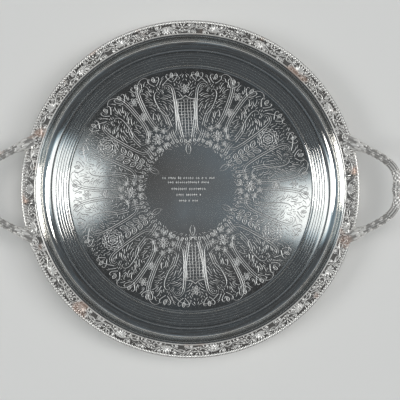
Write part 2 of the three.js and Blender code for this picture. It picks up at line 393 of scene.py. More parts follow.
class Finish(Enum):
    """The finishes of the salver, each built once."""

    SHEET = SilverPlate("silver plate, spun and polished sheet", roughness=0.06, haze=0.05,
                        scratch_depth=0.0015, wave_depth=0.06, wave_mm=50.0, ring_mm=0.7, ring_depth=0.0010,
                        specks=0.06)
    # Chased lines: relief under 0.06 mm gets the dark colour, painted shade on each cut's ledge and groove.
    CHASED = SilverPlate("silver plate, chased line", clean="#F2F1EE", roughness=0.16, haze=0.08, metal=0.58,
                         tarnish_and_shade_height=0.06, tarnish_and_shade_amount=0.85)
    BORDER = SilverPlate("silver plate, cast border", clean="#F6F3EE", roughness=0.2, haze=0.08,
                         tarnish_and_shade_height=0.9, tarnish_and_shade_amount=0.85, wear=0.6, metal=0.56)
    HANDLE = SilverPlate("silver plate, cast handle", clean="#F6F3EE", roughness=0.2, haze=0.1,
                         tarnish_and_shade_height=0.8, tarnish_and_shade_amount=0.62, wear=0.5, metal=0.5)
    FOOT = SilverPlate("silver plate, cast foot", clean="#D8D4CC", roughness=0.22, haze=0.1,
                       tarnish_and_shade_height=0.8, tarnish_and_shade_amount=0.7, wear=0.5)
    UNDERSIDE = SilverPlate("silver plate, plain patch", clean="#CFCBC2", roughness=0.25, haze=0.12)

    def material(self) -> bpy.types.Material:
        """This finish's material, built the first time that it is asked for."""
        return bpy.data.materials.get(self.value.name) or self.value.build()


# ---- Making pieces ------------------------------------------------------------------------------


def set_down(bm: bmesh.types.BMesh, name: str, finish: Finish,
             nodes: Iterable[str] = ()) -> bpy.types.Object:
    """Turns a shape in millimetres into a finished piece of the salver.

    Args:
        bm: The shape. It is freed.
        name: The piece's name.
        finish: Its finish.
        nodes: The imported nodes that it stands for.

    Returns:
        The piece's object.
    """
    bmesh.ops.scale(bm, vec=(MM, MM, MM), verts=bm.verts[:])
    mesh = bpy.data.meshes.new(name)
    for face in bm.faces:
        face.smooth = True
    bm.to_mesh(mesh)
    bm.free()
    mesh.materials.append(finish.material())
    piece = bpy.data.objects.new(name, mesh)
    bpy.context.scene.collection.objects.link(piece)
    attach(piece, BODY)
    if nodes:
        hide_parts(*nodes)
    log.info("%s: %d faces", name, len(mesh.polygons))
    return piece


def spun(profile: Sequence[Point], steps: int) -> bmesh.types.BMesh:
    """A closed profile spun once round the Z axis.

    Args:
        profile: Radius and height of each corner, in order round the section.
        steps: Steps in the turn.

    Returns:
        The spun shape, its faces outwards.
    """
    bm = bmesh.new()
    corners = [bm.verts.new((radius, 0.0, height)) for radius, height in profile]
    for start, end in zip(corners, corners[1:]):
        bm.edges.new((start, end))
    if profile[0][0] > 0.0:
        bm.edges.new((corners[-1], corners[0]))
    bmesh.ops.spin(bm, geom=bm.verts[:] + bm.edges[:], cent=(0, 0, 0), axis=(0, 0, 1), dvec=(0, 0, 0),
                   angle=TURN, steps=steps, use_merge=True, use_duplicate=False)
    bmesh.ops.remove_doubles(bm, verts=bm.verts[:], dist=1e-4)
    bmesh.ops.recalc_face_normals(bm, faces=bm.faces[:])
    return bm


class Stamp:
    """A small shape that is struck many times."""

    def __init__(self, bm: bmesh.types.BMesh) -> None:
        """Keeps a shape as a stamp.

        Args:
            bm: The shape. It is freed.
        """
        self.mesh = bpy.data.meshes.new("stamp")
        bm.to_mesh(self.mesh)
        bm.free()

    def strike(self, bm: bmesh.types.BMesh, place: Matrix) -> None:
        """Strikes the shape once.

        Args:
            bm: What the shape is added to.
            place: Where it goes.
        """
        copy = self.mesh.copy()
        copy.transform(place)
        bm.from_mesh(copy)
        bpy.data.meshes.remove(copy)


def lobe() -> Stamp:
    """Shapes one lobe of a leaf or petal: a drop along X, full near its tip, with a dished back.

    Returns:
        The lobe, one unit long and wide.
    """
    bm = bmesh.new()
    bmesh.ops.create_uvsphere(bm, u_segments=8, v_segments=6, radius=1.0)
    bmesh.ops.rotate(bm, verts=bm.verts[:], cent=(0, 0, 0), matrix=Matrix.Rotation(math.pi / 2, 3, "Y"))
    for vert in bm.verts:
        along = (vert.co.x + 1.0) / 2.0
        full = 0.42 + 0.58 * along
        side = vert.co.y * full
        dish = 0.34 * max(vert.co.z, 0.0) * math.exp(-((vert.co.y / 0.42) ** 2))
        height = (vert.co.z - dish) * (0.55 + 0.45 * along)
        vert.co = Vector((along, side * 0.5, max(height, -0.25) * 0.5))
    return Stamp(bm)


def bead(segments: int = 6, rings: int = 4) -> Stamp:
    """Shapes a small ball.

    Args:
        segments: Its faces round.
        rings: Its faces from pole to pole.

    Returns:
        The ball, of radius one.
    """
    bm = bmesh.new()
    bmesh.ops.create_uvsphere(bm, u_segments=segments, v_segments=rings, radius=1.0)
    return Stamp(bm)


# ---- Lines --------------------------------------------------------------------------------------


def wander(start: Point, heading: float, length: float, bends: Sequence[float], steps: int) -> list[Point]:
    """Draws a line that leaves a point and turns as it goes.

    Args:
        start: Where the line begins.
        heading: Its first direction, in radians.
        length: Its length.
        bends: Turn for each unit of length, spaced evenly along the line. Positive turns left.
        steps: Steps along the line.

    Returns:
        The points of the line.
    """
    x, y = start
    points = [(x, y)]
    stride = length / steps
    for step in range(steps):
        at = (step + 0.5) / steps * (len(bends) - 1)
        index = min(int(at), len(bends) - 2)
        bend = bends[index] + (bends[index + 1] - bends[index]) * (at - index)
        heading += bend * stride / 2.0
        x += stride * math.cos(heading)
        y += stride * math.sin(heading)
        heading += bend * stride / 2.0
        points.append((x, y))
    return points


def beside(points: Sequence[Point], distance: float) -> list[Point]:
    """Moves a line sideways.

    Args:
        points: The line.
        distance: How far it moves to its left.

    Returns:
        The moved line.
    """
    moved = []
    for index, (x, y) in enumerate(points):
        before = points[max(index - 1, 0)]
        after = points[min(index + 1, len(points) - 1)]
        along = Vector((after[0] - before[0], after[1] - before[1])).normalized()
        moved.append((x - along.y * distance, y + along.x * distance))
    return moved


def part_of(points: Sequence[Point], start: float, end: float) -> list[Point]:
    """The stretch of a line between two shares of its points."""
    last = len(points) - 1
    return list(points[round(start * last) : round(end * last) + 1])


class Taper(Enum):
    """How a stroke swells and thins: its width at the start, middle and end."""

    EVEN = (0.8, 1.0, 0.8)
    SWELL = (0.35, 1.0, 0.35)
    OUT = (1.0, 0.8, 0.3)

    def width(self, share: float) -> float:
        """The stroke's width at a place along it.

        Args:
            share: The place, from 0 at its start to 1 at its end.

        Returns:
            The width, as a share of the stroke's weight.
        """
        start, middle, end = self.value
        near = start if share < 0.5 else end
        return near + (middle - near) * math.sin(math.pi * share)


@dataclass
class Graver:
    """A tool that draws strokes of one section and raises them all as one shape."""

    section: Sequence[Point]
    strokes: list[tuple[list[Point], float, Taper, bool]] = field(default_factory=list)

    def draw(self, points: Sequence[Point], weight: float, taper: Taper = Taper.SWELL,
             closed: bool = False) -> None:
        """Draws a stroke.

        Args:
            points: The line.
            weight: Half the stroke's width at its widest.
            taper: How it swells.
            closed: Whether the line closes on itself.
        """
        self.strokes.append((list(points), weight, taper, closed))

    def shape(self, height: float = 0.0) -> bmesh.types.BMesh:
        """Raises the strokes.

        Args:
            height: Height that they lie at.

        Returns:
            The strokes as closed ribs.
        """
        scene = bpy.context.scene.collection
        edge = bpy.data.curves.new("graver edge", "CURVE")
        edge.dimensions = "2D"
        outline = edge.splines.new("POLY")
        outline.points.add(len(self.section) - 1)
        outline.use_cyclic_u = True
        for point, (x, y) in zip(outline.points, self.section):
            point.co = (x, y, 0.0, 1.0)
        edge_object = bpy.data.objects.new("graver edge", edge)
        path = bpy.data.curves.new("strokes", "CURVE")
        path.dimensions = "3D"
        path.twist_mode = "Z_UP"
        path.bevel_mode = "OBJECT"
        path.bevel_object = edge_object
        path.use_fill_caps = True
        for points, weight, taper, closed in self.strokes:
            spline = path.splines.new("POLY")
            spline.points.add(len(points) - 1)
            spline.use_cyclic_u = closed
            for index, (point, (x, y)) in enumerate(zip(spline.points, points)):
                point.co = (x, y, height, 1.0)
                point.radius = weight * (1.0 if closed else taper.width(index / (len(points) - 1)))
        path_object = bpy.data.objects.new("strokes", path)
        scene.objects.link(edge_object)
        scene.objects.link(path_object)
        graph = bpy.context.evaluated_depsgraph_get()
        mesh = bpy.data.meshes.new_from_object(path_object.evaluated_get(graph))
        bm = bmesh.new()
        bm.from_mesh(mesh)
        for thing in (path_object, edge_object):
            bpy.data.objects.remove(thing)
        bpy.data.curves.remove(path)
        bpy.data.curves.remove(edge)
        bpy.data.meshes.remove(mesh)
        bmesh.ops.remove_doubles(bm, verts=bm.verts[:], dist=1e-4)
        return bm


# A graver's cut in section, in shares of the stroke's weight: a groove between two raised lips, and a
# low ledge beside it. The chased finish colours the ledge and the groove dark as painted shade, the shadow
# side of the cut.
V_CUT = ((-1.6, -0.12), (-1.5, 0.02), (-0.78, 0.02), (-0.45, 0.27), (0.0, 0.1), (0.45, 0.27), (0.78, -0.12))
ROUND_RIB = tuple((math.cos(a), math.sin(a)) for a in (TURN * k / 8 for k in range(8)))


# ---- The spun sheet -----------------------------------------------------------------------------


@dataclass
class TraySheet:
    """The body: one sheet spun into a flat well, a reeded step, a hollow wall and a flat flange."""

    levels: Levels
    sheet: float = 1.2
    step_width: float = 16.0
    wall_width: float = 14.6
    floor_curve: float = 2.2
    step_rise: float = 0.8
    wall_turn: float = math.radians(70.0)
    roll: float = 1.6
    reeds: tuple[Point, ...] = ((2.0, 0.8), (4.6, 0.8), (7.2, 0.8), (9.8, 0.8), (12.9, 1.2))
    reed_height: float = 0.27
    steps: int = 288

    @property
    def floor(self) -> float:
        """Height of the well's floor."""
        return self.levels.floor_under + self.sheet

    @property
    def well_radius(self) -> float:
        """Radius of the well's floor."""
        return self.levels.border_inner - self.wall_width - self.step_width

    def upper_line(self) -> list[Point]:
        """Draws the sheet's upper face in section: floor, curve, band, hollow wall, roll and flange.

        Returns:
            The line, from the axis outwards.
        """
        floor, well = self.floor, self.well_radius
        line = [(0.0, floor), (well * 0.5, floor), (well - self.floor_curve * 1.2, floor)]
        for step in range(7):
            turn = math.pi / 2 * step / 6
            line.append((well - self.floor_curve / 2 + self.floor_curve * math.sin(turn) * 0.9,
                         floor + self.floor_curve * (1.0 - math.cos(turn))))
        line += self._band(well)
        foot = well + self.step_width
        foot_height = floor + self.floor_curve + self.step_rise
        run = self.wall_width - self.roll * math.sin(self.wall_turn)
        rise = self.levels.flange - self.roll * (1.0 - math.cos(self.wall_turn)) - foot_height
        for step in range(25):
            turn = self.wall_turn * step / 24
            line.append((foot + run * math.sin(turn) / math.sin(self.wall_turn),
                         foot_height + rise * (1 - math.cos(turn)) / (1 - math.cos(self.wall_turn))))
        for step in range(1, 9):
            turn = self.wall_turn * (1.0 - step / 8)
            line.append((foot + self.wall_width - self.roll * math.sin(turn),
                         self.levels.flange - self.roll * (1.0 - math.cos(turn))))
        line.append((self.levels.border_outer, self.levels.flange))
        return line

    def _band(self, well: float) -> list[Point]:
        """Draws the step: a band that rises gently outwards, with low rounded reeds along it.

        Args:
            well: The well's radius.

        Returns:
            The band's line.
        """
        line = []
        base = self.floor + self.floor_curve
        slope = self.step_rise / self.step_width
        for centre, half in self.reeds:
            for step in range(9):
                across = step / 4 - 1.0
                out = centre + half * across
                crown = self.reed_height * half * (1.0 + math.cos(math.pi * across)) / 2
                line.append((well + out, base + slope * out + crown))
        return line

    def build(self) -> None:
        """Makes the sheet, with its underside one sheet's thickness below the face."""
        upper = self.upper_line()
        lower = [(radius, height) for radius, height in upper if self._plain(radius)]
        lower = [(max(x, 0.0), y) for x, y in beside(lower, -self.sheet)]
        lower[0] = (0.0, self.levels.floor_under)
        lower[-1] = (self.levels.border_outer, self.levels.flange - self.sheet)
        bm = spun(lower + upper[::-1], self.steps)
        set_down(bm, "spun_tray", Finish.SHEET, ["tray_body"])

    def _plain(self, radius: float) -> bool:
        """Whether a radius is clear of the reeds, which don't show through on the underside."""
        out = radius - self.well_radius
        return not any(centre - half - 0.05 < out < centre + half + 0.05 for centre, half in self.reeds)


@dataclass
class RimWire:
    """Half-hard wire soldered round the outer edge of the flange and the border."""

    levels: Levels
    wire: float = 2.2
    sides: int = 12
    steps: int = 288

    def build(self) -> None:
        """Makes the wire."""
        low, high = (corner.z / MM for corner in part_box("rim_wire"))
        middle = self.levels.tray_radius - self.wire / 2
        section = [(middle + self.wire / 2 * math.cos(a), (low + high) / 2 + (high - low) / 2 * math.sin(a))
                   for a in (TURN * k / self.sides for k in range(self.sides))]
        set_down(spun(section, self.steps), "rim_wire_ring", Finish.SHEET, ["rim_wire"])


# ---- Flat chasing -------------------------------------------------------------------------------


def fitted(line: Sequence[Point], start: Point, end: Point, flip: bool = False) -> list[Point]:
    """Moves, turns and scales a line so that it runs between two points.

    Args:
        line: The line.
        start: Where its first point goes.
        end: Where its last point goes.
        flip: Whether to mirror it first.

    Returns:
        The fitted line.
    """
    points = [complex(x, -y if flip else y) for x, y in line]
    first, last = complex(*start), complex(*end)
    scale = (last - first) / (points[-1] - points[0])
    moved = [(point - points[0]) * scale + first for point in points]
    return [(point.real, point.imag) for point in moved]


def bow(start: Point, end: Point, sag: float, steps: int = 6) -> list[Point]:
    """Draws a shallow arc between two points.

    Args:
        start: Where it starts.
        end: Where it ends.
        sag: How far it bulges to its left, as a share of its length.
        steps: Steps along it.

    Returns:
        The arc.
    """
    across, up = end[0] - start[0], end[1] - start[1]
    points = []
    for step in range(steps + 1):
        share = step / steps
        out = 4.0 * sag * share * (1.0 - share)
        points.append((start[0] + across * share - up * out, start[1] + up * share + across * out))
    return points


def ring(centre: Point, radius: float, steps: int, squeeze: float = 1.0, turn: float = 0.0) -> list[Point]:
    """Draws a circle, or an oval.

    Args:
        centre: Its middle.
        radius: Its radius, or half its length.
        steps: Points on it.
        squeeze: Its width, as a share of its length.
        turn: The direction of its length.

    Returns:
        The points, which don't repeat the first.
    """
    points = []
    for step in range(steps):
        along = radius * math.cos(TURN * step / steps)
        across = radius * squeeze * math.sin(TURN * step / steps)
        points.append((centre[0] + along * math.cos(turn) - across * math.sin(turn),
                       centre[1] + along * math.sin(turn) + across * math.cos(turn)))
    return points


def away(point: Point, angle: float, distance: float) -> Point:
    """The point at an angle and a distance from another."""
    return point[0] + distance * math.cos(angle), point[1] + distance * math.sin(angle)


# Scrolls drawn once, 100 units long, and fitted between two points wherever one is cut.
C_SCROLL = wander((0.0, 0.0), 0.0, 100.0, (0.36, 0.1, 0.02, 0.0, 0.02, 0.1, 0.36), 80)
BRACKET = wander((0.0, 0.0), 0.0, 100.0, (0.4, 0.12, 0.01, 0.003, 0.002, 0.003, 0.01, 0.12, 0.4), 96)
CROOK = wander((0.0, 0.0), 0.0, 100.0, (0.0, 0.004, 0.02, 0.07, 0.24), 40)


class Layer(Enum):
    """The chaser's passes. Each is one piece."""

    SCROLLS = "chased_scrolls"
    FLOWERS = "chased_flowers"
    TRELLIS = "chased_trellis"
    RIM_CURLS = "chased_rim_curls"
    LEAVES = "chased_leaves"


@dataclass
class Stroke:
    """One stroke of the graver on a panel."""

    layer: Layer
    points: list[Point]
    weight: float
    taper: Taper
    closed: bool
    mirrored: bool


@dataclass
class Panel:
    """Half of a chased panel, drawn upright beside the Y axis, which points to the rim.

    It remembers where it is cut, so that the fill keeps clear of the motifs.
    """

    cell: float = 0.82
    strokes: list[Stroke] = field(default_factory=list)
    taken: set[tuple[int, int]] = field(default_factory=set)

    def cut(self, layer: Layer, points: Sequence[Point], weight: float = 0.5, taper: Taper = Taper.SWELL,
            closed: bool = False, mirrored: bool = True) -> None:
        """Cuts a stroke and marks where it runs.

        Args:
            layer: The pass that it belongs to.
            points: Its line.
            weight: Half its width at its widest.
            taper: How it swells.
            closed: Whether the line closes on itself.
            mirrored: Whether the other half of the panel has it too.
        """
        self.strokes.append(Stroke(layer, list(points), weight, taper, closed, mirrored))
        self.taken.update(self._cell(point) for point in points)
        if not mirrored:
            self.taken.update(self._cell((-x, y)) for x, y in points)

    def clear(self, points: Sequence[Point]) -> bool:
        """Looks for bare sheet.

        Args:
            points: The places to look at.

        Returns:
            Whether nothing is cut at, or next to, any of them.
        """
        for point in points:
            column, row = self._cell(point)
            near = ((column, row), (column + 1, row), (column - 1, row), (column, row + 1), (column, row - 1))
            if any(cell in self.taken for cell in near):
                return False
        return True

    def _cell(self, point: Point) -> tuple[int, int]:
        """The cell that a point is in."""
        return math.floor(point[0] / self.cell), math.floor(point[1] / self.cell)


@dataclass
class ChasedWell:
    """Chasing on the floor of the well: six panels round a plain middle.

    Trellis shields stand at the top and bottom and roses in the other panels. All are flanked by scrolls,
    with flowers on the boundaries between panels and curls along the outer edge.
    """

    tray: TraySheet
    panels: int = 6
    turn: float = math.radians(3.0)
    inner: float = 47.0
    outer: float = 125.6
    trellis_panels: tuple[int, ...] = (0, 3)
    trellis_pitch: float = 3.3
    trellis_top: float = 97.0
    trellis_foot: float = 54.0
    trellis_half: float = 9.6
    trellis_foot_half: float = 4.0
    rose_circle: float = 99.0
    wreath_leaves: int = 14
    daisy_circle: float = 64.0
    rows: tuple[Point, ...] = ((12.2, 56.0), (7.6, 44.0), (0.6, 36.0), (-5.8, 26.0), (-12.0, 20.0))

    def build(self) -> None:
        """Cuts every panel and the middle."""
        gravers = {layer: Graver(V_CUT) for layer in Layer}
        plain, trellised = self._panel(False), self._panel(True)
        for index in range(self.panels):
            panel = trellised if index in self.trellis_panels else plain
            angle = self.turn + TURN * index / self.panels
            for stroke in panel.strokes:
                for side in (1, -1) if stroke.mirrored else (1,):
                    points = [
                        (side * x * math.cos(angle) - y * math.sin(angle),
                         side * x * math.sin(angle) + y * math.cos(angle))
                        for x, y in stroke.points
                    ]
                    gravers[stroke.layer].draw(points, stroke.weight, stroke.taper, stroke.closed)
        for layer, graver in gravers.items():
            bm = graver.shape(self.tray.floor)
            # The relief height sets where the chased finish paints shade on each cut's ledge and groove.
            height = bm.verts.layers.float.new("relief")
            for vert in bm.verts:
                vert[height] = vert.co.z - self.tray.floor
            set_down(bm, layer.value, Finish.CHASED)
        self._middle()

    def _panel(self, trellised: bool) -> Panel:
        """Draws half a panel.

        Args:
            trellised: Whether it has trellis at its middle line, and not a rose.

        Returns:
            The half panel.
        """
        panel = Panel()
        if trellised:
            self._trellis(panel)
        else:
            self._rose(panel)
        self._scrolls(panel)
        self._daisies(panel)
        self._inner_petals(panel)
        self._rim(panel)
        self._fill(panel)
        return panel

    def _trellis(self, panel: Panel) -> None:
        """Cuts a shield of crossed lines with a flower above it.

        Args:
            panel: The half panel.
        """
        foot, top, pitch = self.trellis_foot, self.trellis_top, self.trellis_pitch

        def half(height: float) -> float:
            """Works out half the shield's width.

            Args:
                height: Height above the middle of the well.

            Returns:
                Half the width there.
            """
            share = (height - foot) / (top - foot)
            widening = math.sin(max(share, 0.0) * math.pi * 0.5) ** 1.2
            return self.trellis_foot_half + (self.trellis_half - self.trellis_foot_half) * widening

        sides = [(half(foot + (top - foot) * k / 14), foot + (top - foot) * k / 14) for k in range(15)]
        panel.cut(Layer.TRELLIS, sides, 0.55, Taper.EVEN)
        panel.cut(Layer.TRELLIS, [(x + 2.0, y) for x, y in sides], 0.42, Taper.EVEN)
        point = bow((0.0, foot - 3.5), (self.trellis_foot_half, foot), 0.1)
        panel.cut(Layer.TRELLIS, point, 0.5, Taper.EVEN)
        panel.cut(Layer.TRELLIS, bow((half(top), top), (0.0, top + 4.0), 0.12, 8), 0.55, Taper.EVEN)
        rows = int((top - foot) / pitch)
        for row in range(1, rows + 1):
            height = foot + row * pitch
            reach = half(height) - 0.4
            line = [(-reach + 2 * reach * k / 4, height) for k in range(5)]
            panel.cut(Layer.TRELLIS, line, 0.28, Taper.EVEN, mirrored=False)
        for column in range(5):
            x = (column + 0.5) * pitch
            heights = [y for _, y in sides if half(y) > x + 0.6]
            if len(heights) > 2:
                line = [(x, heights[0] + (top - heights[0]) * k / 8) for k in range(9)]
                panel.cut(Layer.TRELLIS, line, 0.28, Taper.EVEN)
        self._daisy(panel, (0.0, 108.0), 5.2, 7, False)

    def _rose(self, panel: Panel) -> None:
        """Cuts a full rose in a wreath, on a leafy stalk.

        Args:
            panel: The half panel.
        """
        centre = (0.0, self.rose_circle)
        for k in range(self.wreath_leaves):
            angle = TURN * k / self.wreath_leaves
            for start_radius, end_radius, sag in ((9.4, 11.9, -0.16), (11.6, 9.8, 0.2)):
                start = away(centre, angle, start_radius)
                end = away(centre, angle + TURN / 12, end_radius)
                panel.cut(Layer.SCROLLS, bow(start, end, sag), 0.38, Taper.OUT, mirrored=False)
        for count, radius, size, phase in ((8, 7.0, 3.0, 0.0), (6, 4.4, 2.6, 0.4), (5, 2.2, 1.5, 0.1)):
            for k in range(count):
                angle = TURN * (k + phase) / count
                start = away(centre, angle - 0.52 * TURN / count, radius)
                end = away(centre, angle + 0.52 * TURN / count, radius)
                panel.cut(Layer.FLOWERS, bow(start, end, -0.34, 7), 0.5, Taper.EVEN, mirrored=False)
                vein = bow(away(centre, angle, radius - size * 0.5),
                           away(centre, angle, radius + size * 0.3), 0.05, 3)
                panel.cut(Layer.FLOWERS, vein, 0.34, Taper.OUT, mirrored=False)
        panel.cut(Layer.FLOWERS, ring(centre, 0.9, 7), 0.4, closed=True, mirrored=False)
        for x, y, heading in ((1.6, 78.5, 0.95), (1.4, 71.5, 0.8), (1.2, 64.5, 0.7), (1.0, 57.5, 0.75)):
            self._leaf(panel, (x, y), heading, 9.0 - (78.5 - y) * 0.12, 2.3, Layer.LEAVES)
        stalk = [(0.0, 54.0 + 32.0 * k / 6) for k in range(7)]
        panel.cut(Layer.SCROLLS, stalk, 0.4, Taper.EVEN, mirrored=False)

    def _scrolls(self, panel: Panel) -> None:
        """Cuts the brackets by the middle, the long triple scrolls, and the plumes between them.

        Args:
            panel: The half panel.
        """
        bracket = fitted(BRACKET, (19.0, 63.0), (21.5, 108.5), True)
        panel.cut(Layer.SCROLLS, bracket, 0.56)
        panel.cut(Layer.SCROLLS, beside(bracket, 2.0), 0.4)
        panel.cut(Layer.SCROLLS, fitted(C_SCROLL, (20.0, 84.0), (29.0, 103.0)), 0.5)
        long = fitted(C_SCROLL, (23.5, 72.0), (41.5, 114.0))
        panel.cut(Layer.SCROLLS, long, 0.5)
        for distance, weight in ((2.0, 0.4), (-2.0, 0.36)):
            panel.cut(Layer.SCROLLS, part_of(beside(long, distance), 0.2, 0.8), weight)
        plume = wander((15.5, 66.0), 1.3, 30.0, (0.0, -0.01, -0.03, -0.06, -0.12), 16)
        for k in range(3):
            line = part_of(beside(plume, -2.1 * k), 0.05 + 0.06 * k, 1.0 - 0.12 * k)
            panel.cut(Layer.SCROLLS, line, 0.46 - 0.03 * k, Taper.OUT)
        fan = wander((9.5, 51.0), 1.0, 17.0, (0.01, 0.02, 0.05, 0.1), 10)
        for k in range(3):
            line = part_of(beside(fan, -2.1 * k), 0.08 * k, 1.0 - 0.12 * k)
            panel.cut(Layer.SCROLLS, line, 0.45, Taper.OUT)
        panel.cut(Layer.SCROLLS, fitted(CROOK, (24.0, 113.0), (8.6, 119.0)), 0.5, Taper.OUT)

    def _daisies(self, panel: Panel) -> None:
        """Cuts the flower clusters on the boundary between two panels.

        Args:
            panel: The half panel.
        """
        edge = math.pi / 2 - math.pi / self.panels
        centre = away((0.0, 0.0), edge, self.daisy_circle)
        self._daisy(panel, centre, 6.2, 8, False)
        for k in range(8):
            self._daisy(panel, away(centre, edge + TURN * (k + 0.5) / 8, 10.8), 3.2, 5, False)
        self._daisy(panel, away((0.0, 0.0), edge, 92.0), 4.6, 7, False)
        self._daisy(panel, away((0.0, 0.0), edge, 111.0), 4.6, 6, False)

    def _daisy(self, panel: Panel, centre: Point, radius: float, petals: int, mirrored: bool) -> None:
        """Cuts a flower: a ring of looped petals round an eye.

        Args:
            panel: The half panel.
            centre: The flower's middle.
            radius: Its radius.
            petals: How many petals it has.
            mirrored: Whether the other half of the panel has it too.
        """
        panel.cut(Layer.FLOWERS, ring(centre, radius * 0.22, 7), 0.42, closed=True, mirrored=mirrored)
        reach = radius * 0.36
        for k in range(petals):
            angle = TURN * k / petals
            petal = ring(away(centre, angle, radius * 0.64), reach, 8, min(0.62, 4.2 / petals * 0.9), angle)
            panel.cut(Layer.FLOWERS, petal, 0.22 + 0.03 * radius, closed=True, mirrored=mirrored)

    def _inner_petals(self, panel: Panel) -> None:
        """Cuts petals round the plain middle, and a leaf that points into it.

        Args:
            panel: The half panel.
        """
        foot, tip = (0.0, self.inner + 3.0), (0.0, self.inner - 10.0)
        panel.cut(Layer.RIM_CURLS, bow(foot, tip, 0.2), 0.4, Taper.OUT)
        rib = bow(foot, away(foot, -math.pi / 2, 8.0), 0.0, 2)
        panel.cut(Layer.RIM_CURLS, rib, 0.34, Taper.OUT, mirrored=False)
        for k in range(6):
            share = (k + 0.5) / 6
            angle = math.pi / 2 - math.pi / self.panels * share
            middle = away((0.0, 0.0), angle, self.inner + 4.2 + 2.6 * math.sin(math.pi * share))
            panel.cut(Layer.RIM_CURLS, ring(middle, 2.1, 8, 0.5, angle), 0.4, closed=True)

    def _rim(self, panel: Panel) -> None:
        """Cuts pairs of curls with small leaves along the outer edge.

        Args:
            panel: The half panel.
        """
        step = math.radians(3.1)
        for degrees in (6.4, 15.8, 25.0):
            middle = math.pi / 2 - math.radians(degrees)
            for side in (1, -1):
                foot = away((0.0, 0.0), middle + side * step * 0.15, self.outer - 9.0)
                eye = away((0.0, 0.0), middle + side * step * 0.62, self.outer - 1.4)
                panel.cut(Layer.RIM_CURLS, fitted(CROOK, foot, eye, side > 0), 0.5, Taper.OUT)
            foot = away((0.0, 0.0), middle, self.outer - 5.0)
            self._leaf(panel, foot, middle, 6.0, 1.6, Layer.RIM_CURLS)

    def _leaf(self, panel: Panel, base: Point, heading: float, length: float, width: float,
              layer: Layer) -> None:
        """Cuts a pointed leaf: two edges, a rib and a few hatched veins.

        Args:
            panel: The half panel.
            base: Where it springs from.
            heading: Where it points, in radians.
            length: Its length.
            width: Its width.
            layer: The pass that it belongs to.
        """
        tip = away(base, heading, length)
        for side in (1, -1):
            panel.cut(layer, bow(base, tip, side * width / length), 0.42, Taper.EVEN)
        panel.cut(layer, bow(away(base, heading, length * 0.1), away(base, heading, length * 0.8), 0.02, 4),
                  0.3, Taper.OUT)
        for share in (0.25, 0.42, 0.6):
            root = away(base, heading, length * share)
            for side in (0.75, -0.75):
                panel.cut(layer, bow(root, away(root, heading + side, width * 0.62), 0.0, 2), 0.26, Taper.OUT)

    def _fill(self, panel: Panel) -> None:
        """Cuts small feathery strokes, the longest first, wherever the motifs leave the sheet bare.

        Args:
            panel: The half panel.
        """
        chance = random.Random(SEED)
        edge = math.pi / self.panels
        for length, pitch, weight in ((9.0, 4.0, 0.5), (6.0, 2.8, 0.45), (3.8, 2.0, 0.4), (2.4, 1.6, 0.36)):
            radius = self.inner + 1.0
            while radius < self.outer - length * 0.5:
                columns = int(radius * edge / pitch)
                for column in range(columns + 1):
                    angle = edge * (column + chance.uniform(-0.3, 0.3)) / (columns or 1)
                    at = away((0.0, 0.0), math.pi / 2 - angle, radius + chance.uniform(-0.4, 0.4))
                    lean = 0.75 * math.sin(radius / 9.0) + chance.uniform(-0.35, 0.35)
                    heading = math.pi / 2 - angle + lean
                    bend = (0.30 if lean > 0 else -0.30) * 6.0 / length
                    line = wander(at, heading, length, (0.0, bend * 0.4, bend * 1.6), 7)
                    if self._inside(line, edge) and panel.clear(line):
                        panel.cut(Layer.LEAVES, line, weight, Taper.OUT)
                radius += pitch
        log.info("fill: %d strokes on half a panel", len(panel.strokes))

    def _inside(self, line: Sequence[Point], edge: float) -> bool:
        """Looks whether a line stays in the half panel.

        Args:
            line: The line.
            edge: Half the panel's angle.

        Returns:
            Whether it does.
        """
        for x, y in line:
            angle = math.atan2(x, y)
            if not (0.004 < angle < edge - 0.004 and self.inner < math.hypot(x, y) < self.outer):
                return False
        return True

    def _middle(self) -> None:
        """Strikes short rows of bright-cut lozenges at the plain middle. They say nothing."""
        bm = bmesh.new()
        cut = bead(4, 2)
        chance = random.Random(SEED)
        for height, width in self.rows:
            x = -width / 2 - 1.5
            while x < width / 2 - 1.5:
                size = (chance.uniform(0.85, 1.25), chance.uniform(1.5, 2.1), 0.3)
                cut.strike(bm, placed(x, height + chance.uniform(-0.2, 0.2), self.tray.floor,
                                      chance.uniform(-0.2, 0.2), size))
                x += chance.choice((2.0, 2.2, 2.4, 4.0))
        height = bm.verts.layers.float.new("relief")
        for vert in bm.verts:
            vert[height] = 1.0
        set_down(bm, "bright_cut_rows", Finish.CHASED)


# ---- Castings -----------------------------------------------------------------------------------


